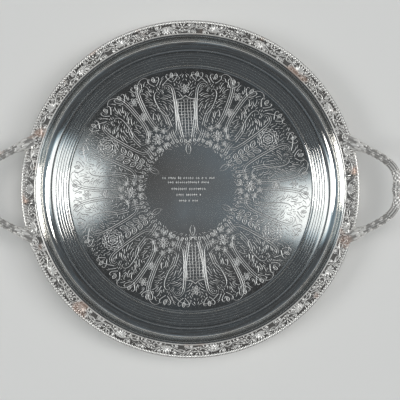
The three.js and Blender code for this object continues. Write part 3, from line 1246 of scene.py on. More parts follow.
class Relief:
    """Ornament modelled in wax on flat ground: x along, y across, z up. It is bent to its place later."""

    def __init__(self, ground: Callable[[float, float], float]) -> None:
        """Starts with bare ground.

        Args:
            ground: Height of the ground at x and y.
        """
        self.bm = bmesh.new()
        self.ground = ground
        self.petal = lobe()
        self.pearl = bead()
        self.ribs = Graver(ROUND_RIB)

    def drop(self, x: float, y: float, turn: float, length: float, width: float, height: float) -> None:
        """Models one lobe.

        Args:
            x: Where it springs from, along the strip.
            y: Where it springs from, across it.
            turn: Where it points, in radians.
            length: Its length.
            width: Its width.
            height: Its height.
        """
        self.petal.strike(self.bm, placed(x, y, self.ground(x, y), turn, (length, width, height)))

    def ball(self, x: float, y: float, size: float, lift: float = 0.0) -> None:
        """Models a pearl.

        Args:
            x: Its place along the strip.
            y: Its place across it.
            size: Its radius.
            lift: Height of its middle over the ground.
        """
        self.pearl.strike(self.bm, placed(x, y, self.ground(x, y) + lift, 0.0, (size, size, size)))

    def leaf(self, x: float, y: float, turn: float, length: float, pairs: int = 2,
             spread: float = 0.48, height: float = 2.6) -> None:
        """Models an acanthus leaf: a middle lobe with shorter pairs beside it.

        Args:
            x: Where it springs from, along the strip.
            y: Where it springs from, across it.
            turn: Where it points, in radians.
            length: Its length.
            pairs: How many pairs stand beside the middle lobe.
            spread: Angle between neighbouring lobes.
            height: Its height.
        """
        for pair in range(pairs, 0, -1):
            for side in (1, -1):
                foot = length * 0.16 * (pairs - pair)
                reach = length * (0.86 - 0.14 * pair)
                self.drop(x + foot * math.cos(turn), y + foot * math.sin(turn), turn + side * spread * pair,
                          reach, length * 0.3, height * 0.85)
        self.drop(x, y, turn, length, length * 0.34, height)

    def rosette(self, x: float, y: float, radius: float, petals: int, height: float = 2.8) -> None:
        """Models a small flower with a pearl for its eye.

        Args:
            x: Its place along the strip.
            y: Its place across it.
            radius: Its radius.
            petals: How many petals it has.
            height: Its height.
        """
        for k in range(petals):
            turn = TURN * k / petals + 0.3
            self.drop(x + 0.25 * radius * math.cos(turn), y + 0.25 * radius * math.sin(turn), turn,
                      radius * 0.78, radius * 3.3 / petals, height)
        self.ball(x, y, radius * 0.3, height * 0.3)

    def fan(self, x: float, y: float, turn: float, length: float, ribs: int, arc: float,
            height: float = 3.0) -> None:
        """Models a shell: ribs spread like a fan from one point.

        Args:
            x: The point, along the strip.
            y: The point, across it.
            turn: Where the middle rib points, in radians.
            length: Its length.
            ribs: How many ribs it has.
            arc: Angle between the outermost ribs.
            height: Its height.
        """
        for k in range(ribs):
            lean = arc * (k / (ribs - 1) - 0.5)
            reach = length * (0.72 + 0.28 * math.cos(lean))
            self.drop(x, y, turn + lean, reach, length * arc / ribs * 1.05, height)
        self.ball(x, y, length * 0.13, height * 0.2)

    def rib(self, points: Sequence[Point], weight: float, taper: Taper = Taper.EVEN) -> None:
        """Lays a raised stem or scroll along a line."""
        self.ribs.draw(points, weight, taper)

    def finished(self, lift: float) -> bmesh.types.BMesh:
        """Finishes the ornament.

        Args:
            lift: Height of the ribs' middles over the ground.

        Returns:
            The ornament, with its height over the ground kept as an attribute.
        """
        if self.ribs.strokes:
            stems = self.ribs.shape(0.0)
            for vert in stems.verts:
                vert.co.z += self.ground(vert.co.x, vert.co.y) + lift
            joined(self.bm, stems)
        height = self.bm.verts.layers.float.new("relief")
        for vert in self.bm.verts:
            vert[height] = vert.co.z - self.ground(vert.co.x, vert.co.y)
        return self.bm


def joined(bm: bmesh.types.BMesh, other: bmesh.types.BMesh) -> None:
    """Adds one shape to another.

    Args:
        bm: The shape that grows.
        other: The shape that is added. It is freed.
    """
    mesh = bpy.data.meshes.new("joined")
    other.to_mesh(mesh)
    other.free()
    bm.from_mesh(mesh)
    bpy.data.meshes.remove(mesh)


@dataclass
class Border:
    """The cast border: ten floral sections from one mould, and a shell casting by each handle."""

    levels: Levels
    section_turn: float = math.radians(34.0)
    shell_turn: float = math.radians(10.0)
    per_side: int = 5
    edge: float = 1.1
    crown: float = 2.1
    reed: float = 0.85
    joint: float = 0.15
    waves: int = 3
    swing: float = 2.7
    petal_pitch: float = 2.9
    overhang: float = 2.0
    crumbs: float = 1.05

    @property
    def middle(self) -> float:
        """Radius of the middle of the band."""
        return (self.levels.border_inner + self.levels.border_outer) / 2

    @property
    def half(self) -> float:
        """Half the width of the band."""
        return (self.levels.border_outer - self.levels.border_inner) / 2

    def build(self) -> None:
        """Casts the sections and shells and lays them round the rim."""
        section = self._section()
        first = self.shell_turn / 2 + self.section_turn / 2
        for index in range(2 * self.per_side):
            side, place = divmod(index, self.per_side)
            turn = side * math.pi + first + place * self.section_turn
            self._lay(section, turn, f"floral_section_{index + 1:02d}", f"border_section_{index + 1:02d}")
        shell = self._shell()
        self._lay(shell, 0.0, "shell_casting_right", "border_shell_right")
        self._lay(shell, math.pi, "shell_casting_left", "border_shell_left")

    def _lay(self, casting: Stamp, turn: float, name: str, node: str) -> None:
        """Lays a casting on the flange.

        Args:
            casting: The casting, as it lies at the right.
            turn: Its place round the rim, in radians.
            name: The piece's name.
            node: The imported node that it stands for.
        """
        bm = bmesh.new()
        casting.strike(bm, Matrix.Rotation(turn, 4, "Z"))
        set_down(bm, name, Finish.BORDER, [node])

    def _ground(self, x: float, y: float) -> float:
        """Height of the bed at a place across it."""
        return self.edge + (self.crown - self.edge) * max(1.0 - (y / self.half) ** 2, 0.0)

    def _bed(self, length: float) -> bmesh.types.BMesh:
        """Makes the domed strip that the ornament stands on.

        Args:
            length: Its length.

        Returns:
            The strip, a closed shape.
        """
        bm = bmesh.new()
        bmesh.ops.create_grid(bm, x_segments=int(length / 0.9), y_segments=10, size=0.5)
        bmesh.ops.scale(bm, vec=(length, 2 * self.half, 1.0), verts=bm.verts[:])
        top = bmesh.ops.extrude_face_region(bm, geom=bm.faces[:])["geom"]
        for vert in (item for item in top if isinstance(item, bmesh.types.BMVert)):
            vert.co.z = self._ground(vert.co.x, vert.co.y)
        bmesh.ops.recalc_face_normals(bm, faces=bm.faces[:])
        return bm

    def _reeds(self, relief: Relief, length: float) -> None:
        """Models a plain reed along the inner edge, and a row of petals that overhangs the rim wire.

        Args:
            relief: The ornament.
            length: The strip's length.
        """
        steps = int(length / 1.2)
        inner = self.reed * 0.9 - self.half
        relief.rib([(length * (k / steps - 0.5) * 0.995, inner) for k in range(steps + 1)], self.reed)
        petals = round(length / self.petal_pitch)
        for k in range(petals):
            x = length * ((k + 0.5) / petals - 0.5)
            relief.drop(x, self.half - 1.5, math.pi / 2, self.overhang + 1.4, self.petal_pitch * 1.6, 2.3)

    def _bent(self, relief: Relief, length: float) -> Stamp:
        """Joins ornament and bed, and bends them to the curve of the rim.

        Args:
            relief: The ornament.
            length: The strip's length.

        Returns:
            The casting, as it lies at the right.
        """
        joined(relief.bm, self._bed(length))
        bm = relief.finished(0.15)
        tallest = self.levels.rim_top - self.levels.border_foot
        for vert in bm.verts:
            x, y, z = vert.co
            angle = x / self.middle
            radius = self.middle + min(max(y, -self.half), self.half + self.overhang)
            vert.co = Vector((radius * math.cos(angle), radius * math.sin(angle),
                              self.levels.border_foot + min(z, tallest)))
        return Stamp(bm)

    def _section(self) -> Stamp:
        """Models a floral section: a running scroll with roses, palmettes and curled leaves in its bowls.

        Returns:
            The casting, as it lies at the right.
        """
        length = self.section_turn * self.middle - 2 * self.joint
        relief = Relief(self._ground)
        wave = length / self.waves
        self._reeds(relief, length)
        steps = 30 * self.waves
        stem = [(length * (k / steps - 0.5) * 0.99, self.swing * math.sin(TURN * self.waves * k / steps))
                for k in range(steps + 1)]
        relief.rib(stem, 0.72)
        for index in range(2 * self.waves):
            x = -length / 2 + wave * (index + 0.5) / 2
            side = 1 if index % 2 == 0 else -1
            self._bowl(relief, x, side, index)
            self._crossing(relief, x + wave / 4, side, index)
        chance = random.Random(SEED)
        for _ in range(int(length * self.crumbs)):
            x, y = chance.uniform(-0.48, 0.48) * length, chance.uniform(-4.4, 4.4)
            relief.drop(x, y, chance.uniform(0.0, TURN), chance.uniform(2.0, 3.2), chance.uniform(1.0, 1.5),
                        chance.uniform(1.6, 2.4))
        return self._bent(relief, length)

    def _bowl(self, relief: Relief, x: float, side: int, index: int) -> None:
        """Models the motif in one bowl of the scroll: in turn a rose, a palmette and a curled leaf.

        Args:
            relief: The ornament.
            x: The bowl's place along the strip.
            side: The side that it opens to, 1 or -1.
            index: The bowl's number.
        """
        low = -side * 0.9
        if index % 3 == 0:
            relief.rosette(x, low, 4.7, 7, 3.8)
            for lean in (-1, 1):
                turn = -side * 0.9 + (math.pi * side if lean < 0 else 0.0)
                relief.leaf(x + lean * 3.6, low - side * 2.0, turn, 4.0, 1)
        elif index % 3 == 1:
            relief.fan(x, low + side * 3.0, -side * math.pi / 2, 8.2, 7, 2.5, 4.2)
            for lean in (-1, 1):
                bend = lean * side
                turn = side * 0.1 * math.pi + (math.pi if lean < 0 else 0.0)
                curl = wander((x + lean * 1.0, low + side * 1.4), turn, 9.0,
                              (0.0, -0.1 * bend, -0.5 * bend, -1.0 * bend), 12)
                relief.rib(curl, 0.5, Taper.OUT)
        else:
            curl = wander((x - 6.0, side * 1.4), -side * 0.5, 19.0,
                          (0.0, side * 0.2, side * 0.34, side * 0.6, side * 0.9), 22)
            relief.rib(curl, 0.85, Taper.OUT)
            relief.ball(*curl[-1], 1.0, 0.5)
            relief.leaf(x + 2.2, low - side * 1.2, -side * 0.35, 5.6, 2, 0.48, 3.0)
            relief.leaf(x - 4.6, low - side * 1.4, math.pi + side * 0.5, 4.4, 1, 0.48, 3.0)

    def _crossing(self, relief: Relief, x: float, side: int, index: int) -> None:
        """Models the leaves that spring from the stem where it crosses the band.

        Args:
            relief: The ornament.
            x: The crossing's place along the strip.
            side: The side that the bowl before it opens to, 1 or -1.
            index: The crossing's number.
        """
        for lean in (1, -1):
            turn = lean * side * 1.15 + (0.0 if index % 2 else 0.25)
            relief.leaf(x + lean * 0.5, lean * side * 0.6, turn, 5.4, 2, 0.48, 3.0)
            relief.drop(x - lean * 1.8, lean * side * 1.4, lean * side * 1.9, 4.2, 1.9, 2.8)
        relief.ball(x, 0.0, 0.9, 0.7)

    def _shell(self) -> Stamp:
        """Models the shell casting: a ribbed fan between two curled scrolls.

        Returns:
            The casting, as it lies at the right.
        """
        length = self.shell_turn * self.middle - 2 * self.joint
        relief = Relief(self._ground)
        self._reeds(relief, length)
        relief.fan(0.0, -4.0, math.pi / 2, 9.0, 9, 2.2, 4.4)
        for lean in (1, -1):
            ahead = 0.0 if lean > 0 else math.pi
            curl = wander((lean * 1.6, -3.9), ahead + lean * 0.35, 21.0,
                          (0.0, lean * 0.1, lean * 0.25, lean * 0.5, lean * 0.9), 22)
            relief.rib(curl, 0.66, Taper.OUT)
            relief.ball(*curl[-1], 1.0, 0.5)
            relief.leaf(lean * 9.4, -2.6, ahead + lean * 0.25, 5.0, 2)
            relief.leaf(lean * 6.6, 3.2, ahead + lean * 0.1, 5.4, 2)
            for k in range(4):
                relief.ball(lean * (11.2 + 0.8 * k), 3.6 - 2.0 * k, 0.55, 0.2)
        return self._bent(relief, length)


# ---- Handles ------------------------------------------------------------------------------------


@dataclass
class Rail:
    """A smooth line through space that knows its sideways and upward directions."""

    points: list[Vector]

    @classmethod
    def through(cls, corners: Sequence[Vector], steps: int) -> "Rail":
        """A smooth line through corners.

        Args:
            corners: The corners, in order.
            steps: Steps between each two corners.

        Returns:
            The rail, from the first corner to the last.
        """
        ends = [2 * corners[0] - corners[1], *corners, 2 * corners[-1] - corners[-2]]
        points = []
        for a, b, c, d in zip(ends, ends[1:], ends[2:], ends[3:]):
            for step in range(steps):
                t = step / steps
                points.append(0.5 * (2 * b + (c - a) * t + (2 * a - 5 * b + 4 * c - d) * t**2
                                     + (3 * b - a - 3 * c + d) * t**3))
        return cls([*points, corners[-1].copy()])

    def __post_init__(self) -> None:
        """Measures the way along the line."""
        self.marks = [0.0]
        for start, end in zip(self.points, self.points[1:]):
            self.marks.append(self.marks[-1] + (end - start).length)

    @property
    def length(self) -> float:
        """The line's whole length."""
        return self.marks[-1]

    def at(self, distance: float) -> tuple[Vector, Vector, Vector]:
        """Finds a place on the line.

        Args:
            distance: How far along the line it is.

        Returns:
            The place, and the sideways and upward directions there.
        """
        distance = min(max(distance, 0.0), self.length)
        index = min(bisect.bisect_right(self.marks, distance), len(self.marks) - 1)
        start, end = self.points[index - 1], self.points[index]
        share = (distance - self.marks[index - 1]) / (self.marks[index] - self.marks[index - 1])
        before = self.points[max(index - 2, 0)]
        after = self.points[min(index + 1, len(self.points) - 1)]
        along = (start - before).lerp(after - end, share) + (end - start)
        side = along.cross(Vector((0.0, 0.0, 1.0))).normalized()
        return start.lerp(end, share), side, side.cross(along).normalized()


@dataclass
class Handle:
    """A cast loop handle: a bow dressed with leaves, reeds and pearls, and a flower at its middle.

    The ornament is modelled flat, its X along the bow, and then wrapped round the bow's middle line.
    """

    levels: Levels
    knop: float = 5.0
    spread: float = 49.4
    bite: float = 3.4
    rise: float = 8.0
    bend: tuple[Point, ...] = ((27.4, 39.1), (11.3, 28.8), (2.8, 17.0))
    core: float = 3.75
    root: float = 6.0
    root_length: float = 24.0
    flatness: float = 0.82
    round_reference: float = 3.4
    buried: float = 3.0
    inner_swell: float = 2.2
    apex_swell: float = 0.35
    flutes: int = 9
    flute_depth: float = 0.16

    @property
    def knop_x(self) -> float:
        """How far out the middle of the bow is."""
        return self.levels.knop_tip - self.knop

    @property
    def root_x(self) -> float:
        """How far out the roots are."""
        return math.sqrt((self.levels.tray_radius - self.bite) ** 2 - self.spread**2)

    @property
    def around(self) -> float:
        """The width of flat work that goes once round the bow."""
        return TURN * self.round_reference

    def build(self) -> None:
        """Casts the handle once and solders it to both sides."""
        rail = self._rail()
        relief = Relief(lambda x, y: 0.0)
        half = rail.length / 2
        self._apex(relief)
        self._shoulders(relief)
        self._vine(relief, half)
        self._sheath(relief, half)
        bm = self._core(half)
        joined(bm, relief.finished(0.1))
        self._wrap(bm, rail)
        joined(bm, self._root_leaves())
        casting = Stamp(bm)
        for name, node, turn in (("cast_handle_right", "handle_right", 0.0),
                                 ("cast_handle_left", "handle_left", math.pi)):
            copy = bmesh.new()
            casting.strike(copy, Matrix.Rotation(turn, 4, "Z"))
            set_down(copy, name, Finish.HANDLE, [node])

    def _rail(self) -> Rail:
        """Draws the bow's middle line.

        Returns:
            The line, from one buried root to the other.
        """
        knop_x, root_x = self.knop_x, self.root_x
        top = self.levels.handle_top - self.knop
        flat = [(root_x, self.spread), *((knop_x - inward, out) for inward, out in self.bend)]
        start = Vector((flat[0][0] - flat[1][0], flat[0][1] - flat[1][1])).normalized() * self.buried
        flat.insert(0, (root_x + start.x, self.spread + start.y))
        both = flat + [(knop_x, 0.0)] + [(x, -y) for x, y in reversed(flat)]
        corners = [Vector((x, y, top - self.rise * (knop_x - x) / (knop_x - root_x))) for x, y in both]
        return Rail.through(corners, 14)

    def _radius(self, distance: float, half: float) -> float:
        """Works out the core's radius.

        Args:
            distance: How far from the middle of the bow.
            half: Half the bow's length.

        Returns:
            The radius there.
        """
        flare = smooth_step(half - self.root_length, half - self.buried, abs(distance))
        swell = math.exp(-((distance / 6.0) ** 2))
        return self.core + (self.root - self.core) * flare + self.apex_swell * swell

    def _core(self, half: float) -> bmesh.types.BMesh:
        """Makes the fluted core as a flat sheet, ready to wrap.

        Args:
            half: Half the bow's length.

        Returns:
            The sheet.
        """
        bm = bmesh.new()
        bmesh.ops.create_grid(bm, x_segments=150, y_segments=36, size=0.5)
        bmesh.ops.scale(bm, vec=(2 * half, self.around, 1.0), verts=bm.verts[:])
        height = bm.verts.layers.float.new("relief")
        for vert in bm.verts:
            vert.co.z = self.flute_depth * math.cos(self.flutes * vert.co.y / self.round_reference)
            vert[height] = self.flute_depth + vert.co.z
        return bm

    def _wrap(self, bm: bmesh.types.BMesh, rail: Rail) -> None:
        """Wraps the flat work round the bow and closes it.

        Args:
            bm: The flat work.
            rail: The bow's middle line.
        """
        half = rail.length / 2
        for vert in bm.verts:
            x, y, z = vert.co
            place, side, up = rail.at(x + half)
            angle = y / self.round_reference
            flare = smooth_step(half - self.root_length, half - self.buried, abs(x))
            most = self.knop - 0.05 if abs(x) < 14.0 else 2.2 * self.knop
            inward = self.inner_swell * max(math.sin(angle), 0.0) * math.exp(-((x / 9.0) ** 2))
            out = min(self._radius(x, half) + z, most)
            flat = 1.0 - (1.0 - self.flatness) * flare
            vert.co = place + side * ((out + inward) * math.sin(angle)) + up * (out * flat * math.cos(angle))
        bmesh.ops.remove_doubles(bm, verts=bm.verts[:], dist=2e-3)
        rims = [edge for edge in bm.edges if edge.is_boundary]
        bmesh.ops.holes_fill(bm, edges=rims, sides=0)
        bmesh.ops.recalc_face_normals(bm, faces=bm.faces[:])

    def _apex(self, relief: Relief) -> None:
        """Models the flowers round the middle, with a collar of pearls at each side.

        Args:
            relief: The ornament.
        """
        quarter = math.pi / 2 * self.round_reference
        relief.rosette(0.0, 0.0, 4.3, 8, 2.6)
        for y in (quarter, -quarter, 2 * quarter - 0.2):
            relief.rosette(0.0, y, 3.3, 6, 2.2)
        for side in (1, -1):
            for k in range(10):
                relief.ball(side * 5.3, self.around * (k / 10 - 0.47), 0.8, 0.2)

    def _shoulders(self, relief: Relief) -> None:
        """Models leaves that point away from the flowers, then a reeded stretch between collars.

        Args:
            relief: The ornament.
        """
        for side in (1, -1):
            turn = 0.0 if side > 0 else math.pi
            for row in range(4):
                for k in range(6):
                    y = self.around * ((k + 0.5 * (row % 2)) / 6 - 0.46)
                    relief.drop(side * (6.2 + 2.7 * row), y, turn, 5.4, 3.5, 2.7)
            for k in range(9):
                y = self.around * (k / 9 - 0.44)
                relief.rib([(side * (17.5 + 1.5 * step), y) for step in range(9)], 0.62, Taper.EVEN)
            for x in (20.4, 30.2):
                for k in range(11):
                    relief.ball(side * x, self.around * (k / 11 - 0.47), 0.78, 0.15)

    def _vine(self, relief: Relief, half: float) -> None:
        """Models curled leaves and berries along the arms.

        Args:
            relief: The ornament.
            half: Half the bow's length.
        """
        quarter = math.pi / 2 * self.round_reference
        for side in (1, -1):
            turn = 0.0 if side < 0 else math.pi
            x, index = 33.5, 0
            while x < half - 18.0:
                lean = 0.62 if index % 2 == 0 else -0.62
                for y in (0.0, 2.0 * quarter - 0.3):
                    relief.leaf(side * (x + 2.6), y - 1.3 * lean, turn + side * lean, 5.0, 2, 0.5, 2.9)
                for y in (quarter, -quarter):
                    relief.leaf(side * (x + 1.4), y + 1.0 * lean, turn - side * lean, 4.4, 1, 0.55, 2.7)
                for y in (0.55, -0.55):
                    relief.ball(side * (x - 1.1), quarter * y * 1.2 + lean, 0.72, 0.25)
                x += 4.9
                index += 1

    def _sheath(self, relief: Relief, half: float) -> None:
        """Models long leaves that clasp the roots and point along the arms.

        Args:
            relief: The ornament.
            half: Half the bow's length.
        """
        rows = ((4.0, 10.0, 3.0), (9.0, 9.5, 3.2), (13.5, 8.5, 3.0))
        for side in (1, -1):
            turn = math.pi if side > 0 else 0.0
            for row, (from_end, length, height) in enumerate(rows):
                for k in range(6):
                    y = self.around * ((k + 0.5 * (row % 2)) / 6 - 0.46)
                    relief.drop(side * (half - from_end), y, turn, length, 3.5, height)

    def _root_leaves(self) -> bmesh.types.BMesh:
        """Models the leaves that spread from each root over the edge of the tray.

        Returns:
            The leaves, in place.
        """
        relief = Relief(lambda x, y: self.levels.rim_top - 0.6)
        for side in (1, -1):
            x, y = self.root_x - 1.0, side * self.spread
            inward = math.atan2(-y, -x)
            outward = math.atan2(side * self.bend[0][1] - y, self.knop_x - self.bend[0][0] - x)
            relief.leaf(*away((x, y), inward, -3.0), inward, 10.5, 2, 0.5, 3.2)
            for lean in (1.15, -1.15):
                relief.leaf(x, y, inward + lean, 9.0, 1, 0.4, 3.0)
            relief.leaf(*away((x, y), outward, -1.0), outward, 13.0, 2, 0.34, 4.6)
            relief.ball(*away((x, y), outward, 0.5), 1.7, 0.8)
        return relief.finished(0.0)


# ---- Feet ---------------------------------------------------------------------------------------


def quadratic(start: Point, pull: Point, end: Point, steps: int = 6) -> list[Point]:
    """Draws a quadratic curve.

    Args:
        start: Where it starts.
        pull: The point that it bends towards.
        end: Where it ends.
        steps: Steps along it.

    Returns:
        Its points after the start.
    """
    shares = [step / steps for step in range(1, steps + 1)]
    return [
        ((1 - t) ** 2 * start[0] + 2 * t * (1 - t) * pull[0] + t * t * end[0],
         (1 - t) ** 2 * start[1] + 2 * t * (1 - t) * pull[1] + t * t * end[1])
        for t in shares
    ]


@dataclass
class Feet:
    """Four cast scroll feet, each on a plain oval patch under the well."""

    count: int = 4
    pad: float = 22.0
    pad_thickness: float = 1.8
    width: float = 10.0
    sole: float = 6.0
    toe: float = 13.0
    toe_round: float = 2.0
    edge: float = 0.8
    edge_relief: float = 0.6
    patch_size: Point = (30.0, 19.0)
    patch_edge: float = 0.3

    def build(self) -> None:
        """Casts the feet and cuts the patches."""
        low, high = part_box("foot_1")
        first = TURN / (2 * self.count)
        middle = (low.x + high.x) / 2 / MM / math.cos(first)
        circle = middle - (self.toe - self.pad / 2) / 2
        foot, patch = self._foot(high.z / MM), self._patch()
        for index in range(self.count):
            turn = Matrix.Rotation(first + TURN * index / self.count, 4, "Z")
            bm = bmesh.new()
            foot.strike(bm, turn @ Matrix.Translation((circle, 0.0, 0.0)))
            set_down(bm, f"scroll_foot_{index + 1}", Finish.FOOT, [f"foot_{index + 1}"])
            bm = bmesh.new()
            patch.strike(bm, turn @ Matrix.Translation((circle, 0.0, 0.0)))
            set_down(bm, f"oval_patch_{index + 1}", Finish.UNDERSIDE,
                     [f"foot_patch_{index + 1}"])

    def _foot(self, height: float) -> Stamp:
        """Casts a scroll bracket with volutes on its cheeks and a shell on its knee.

        Args:
            height: Its height.

        Returns:
            The foot, pointing along X.
        """
        half, under = self.pad / 2, height - self.pad_thickness
        heel = self.toe - self.toe_round - self.sole
        outline = [(-half, height), (-half, under)]
        outline += quadratic(outline[-1], (-half / 3, under - 1), (0.0, under / 2))
        outline += quadratic(outline[-1], (heel / 2, 0.0), (heel, 0.0))
        outline.append((heel + self.sole, 0.0))
        outline += quadratic(outline[-1], (self.toe, 0.0), (self.toe, under / 4), 5)
        outline += quadratic(outline[-1], (self.toe, under / 2), (self.toe - self.sole / 2, under / 2), 5)
        outline += quadratic(outline[-1], (half / 2, under * 0.6), (half, under))
        outline.append((half, height))
        bm = bmesh.new()
        corners = [bm.verts.new((x, -self.width / 2, z)) for x, z in outline]
        cheek = bm.faces.new(corners)
        far = bmesh.ops.extrude_face_region(bm, geom=[cheek])["geom"]
        moved = [item for item in far if isinstance(item, bmesh.types.BMVert)]
        bmesh.ops.translate(bm, vec=(0.0, self.width, 0.0), verts=moved)
        bmesh.ops.recalc_face_normals(bm, faces=bm.faces[:])
        rims = [edge for edge in bm.edges if edge.calc_face_angle(0.0) > 1.0]
        bmesh.ops.bevel(bm, geom=rims, offset=self.edge, offset_type="OFFSET", affect="EDGES", segments=3,
                        profile=0.5, material=-1, clamp_overlap=True)
        layer = bm.verts.layers.float.new("relief")
        for vert in bm.verts:
            vert[layer] = self.edge_relief
        joined(bm, self._volutes(under))
        joined(bm, self._knee(under))
        for vert in bm.verts:
            vert.co.z = max(vert.co.z, 0.0)
        return Stamp(bm)

    def _volutes(self, under: float) -> bmesh.types.BMesh:
        """Models a raised scroll on each cheek.

        Args:
            under: Height of the underside of the pad.

        Returns:
            The scrolls, in place.
        """
        ribs = Graver(ROUND_RIB)
        curl = wander((-8.0, under - 0.4), -0.35, 30.0, (0.0, -0.05, 0.02, 0.14, 0.5), 26)
        ribs.draw(curl, 0.75, Taper.OUT)
        ribs.draw(wander((-4.0, under + 0.4), -0.1, 13.0, (0.0, -0.2, -0.7), 14), 0.55, Taper.OUT)
        ribs.draw(part_of(beside(curl, 1.7), 0.1, 0.55), 0.45)
        both = bmesh.new()
        for side in (1, -1):
            rib = ribs.shape(0.0)
            cheek = Matrix.Translation((0.0, side * self.width / 2, 0.0))
            upright = Matrix.Rotation(math.pi / 2, 4, "X")
            bmesh.ops.transform(rib, matrix=cheek @ upright, verts=rib.verts[:])
            joined(both, rib)
        layer = both.verts.layers.float.new("relief")
        for vert in both.verts:
            vert[layer] = 1.0
        return both

    def _knee(self, under: float) -> bmesh.types.BMesh:
        """Models a shell that lies on the front of the foot.

        Args:
            under: Height of the underside of the pad.

        Returns:
            The shell, in place.
        """
        shell = Relief(lambda x, y: 0.0)
        shell.fan(0.0, 0.0, math.pi / 2, 6.4, 7, 1.9, 2.2)
        bm = shell.finished(0.0)
        lean = Matrix.Rotation(math.pi / 2, 4, "Z") @ Matrix.Rotation(math.radians(62.0), 4, "X")
        place = Matrix.Translation((self.toe - self.sole * 0.9, 0.0, under * 0.42))
        bmesh.ops.transform(bm, matrix=place @ lean, verts=bm.verts[:])
        return bm

    def _patch(self) -> Stamp:
        """Cuts an oval plate with a rounded edge.

        Returns:
            The patch, its length along X.
        """
        low, high = (corner.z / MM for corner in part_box("foot_patch_1"))
        bm = bmesh.new()
        bmesh.ops.create_circle(bm, cap_ends=True, segments=48, radius=0.5)
        bmesh.ops.scale(bm, vec=(*self.patch_size, 1.0), verts=bm.verts[:])
        top = bmesh.ops.extrude_face_region(bm, geom=bm.faces[:])["geom"]
        bmesh.ops.translate(bm, vec=(0.0, 0.0, high - low),
                            verts=[item for item in top if isinstance(item, bmesh.types.BMVert)])
        bmesh.ops.translate(bm, vec=(0.0, 0.0, low), verts=bm.verts[:])
        bmesh.ops.recalc_face_normals(bm, faces=bm.faces[:])
        edge = [item for item in bm.edges if item.calc_face_angle(0.0) > 1.0]
        bmesh.ops.bevel(bm, geom=edge, offset=self.patch_edge, offset_type="OFFSET", affect="EDGES",
                        segments=2, profile=0.5, material=-1, clamp_overlap=True)
        return Stamp(bm)


# ---- Studio -------------------------------------------------------------------------------------


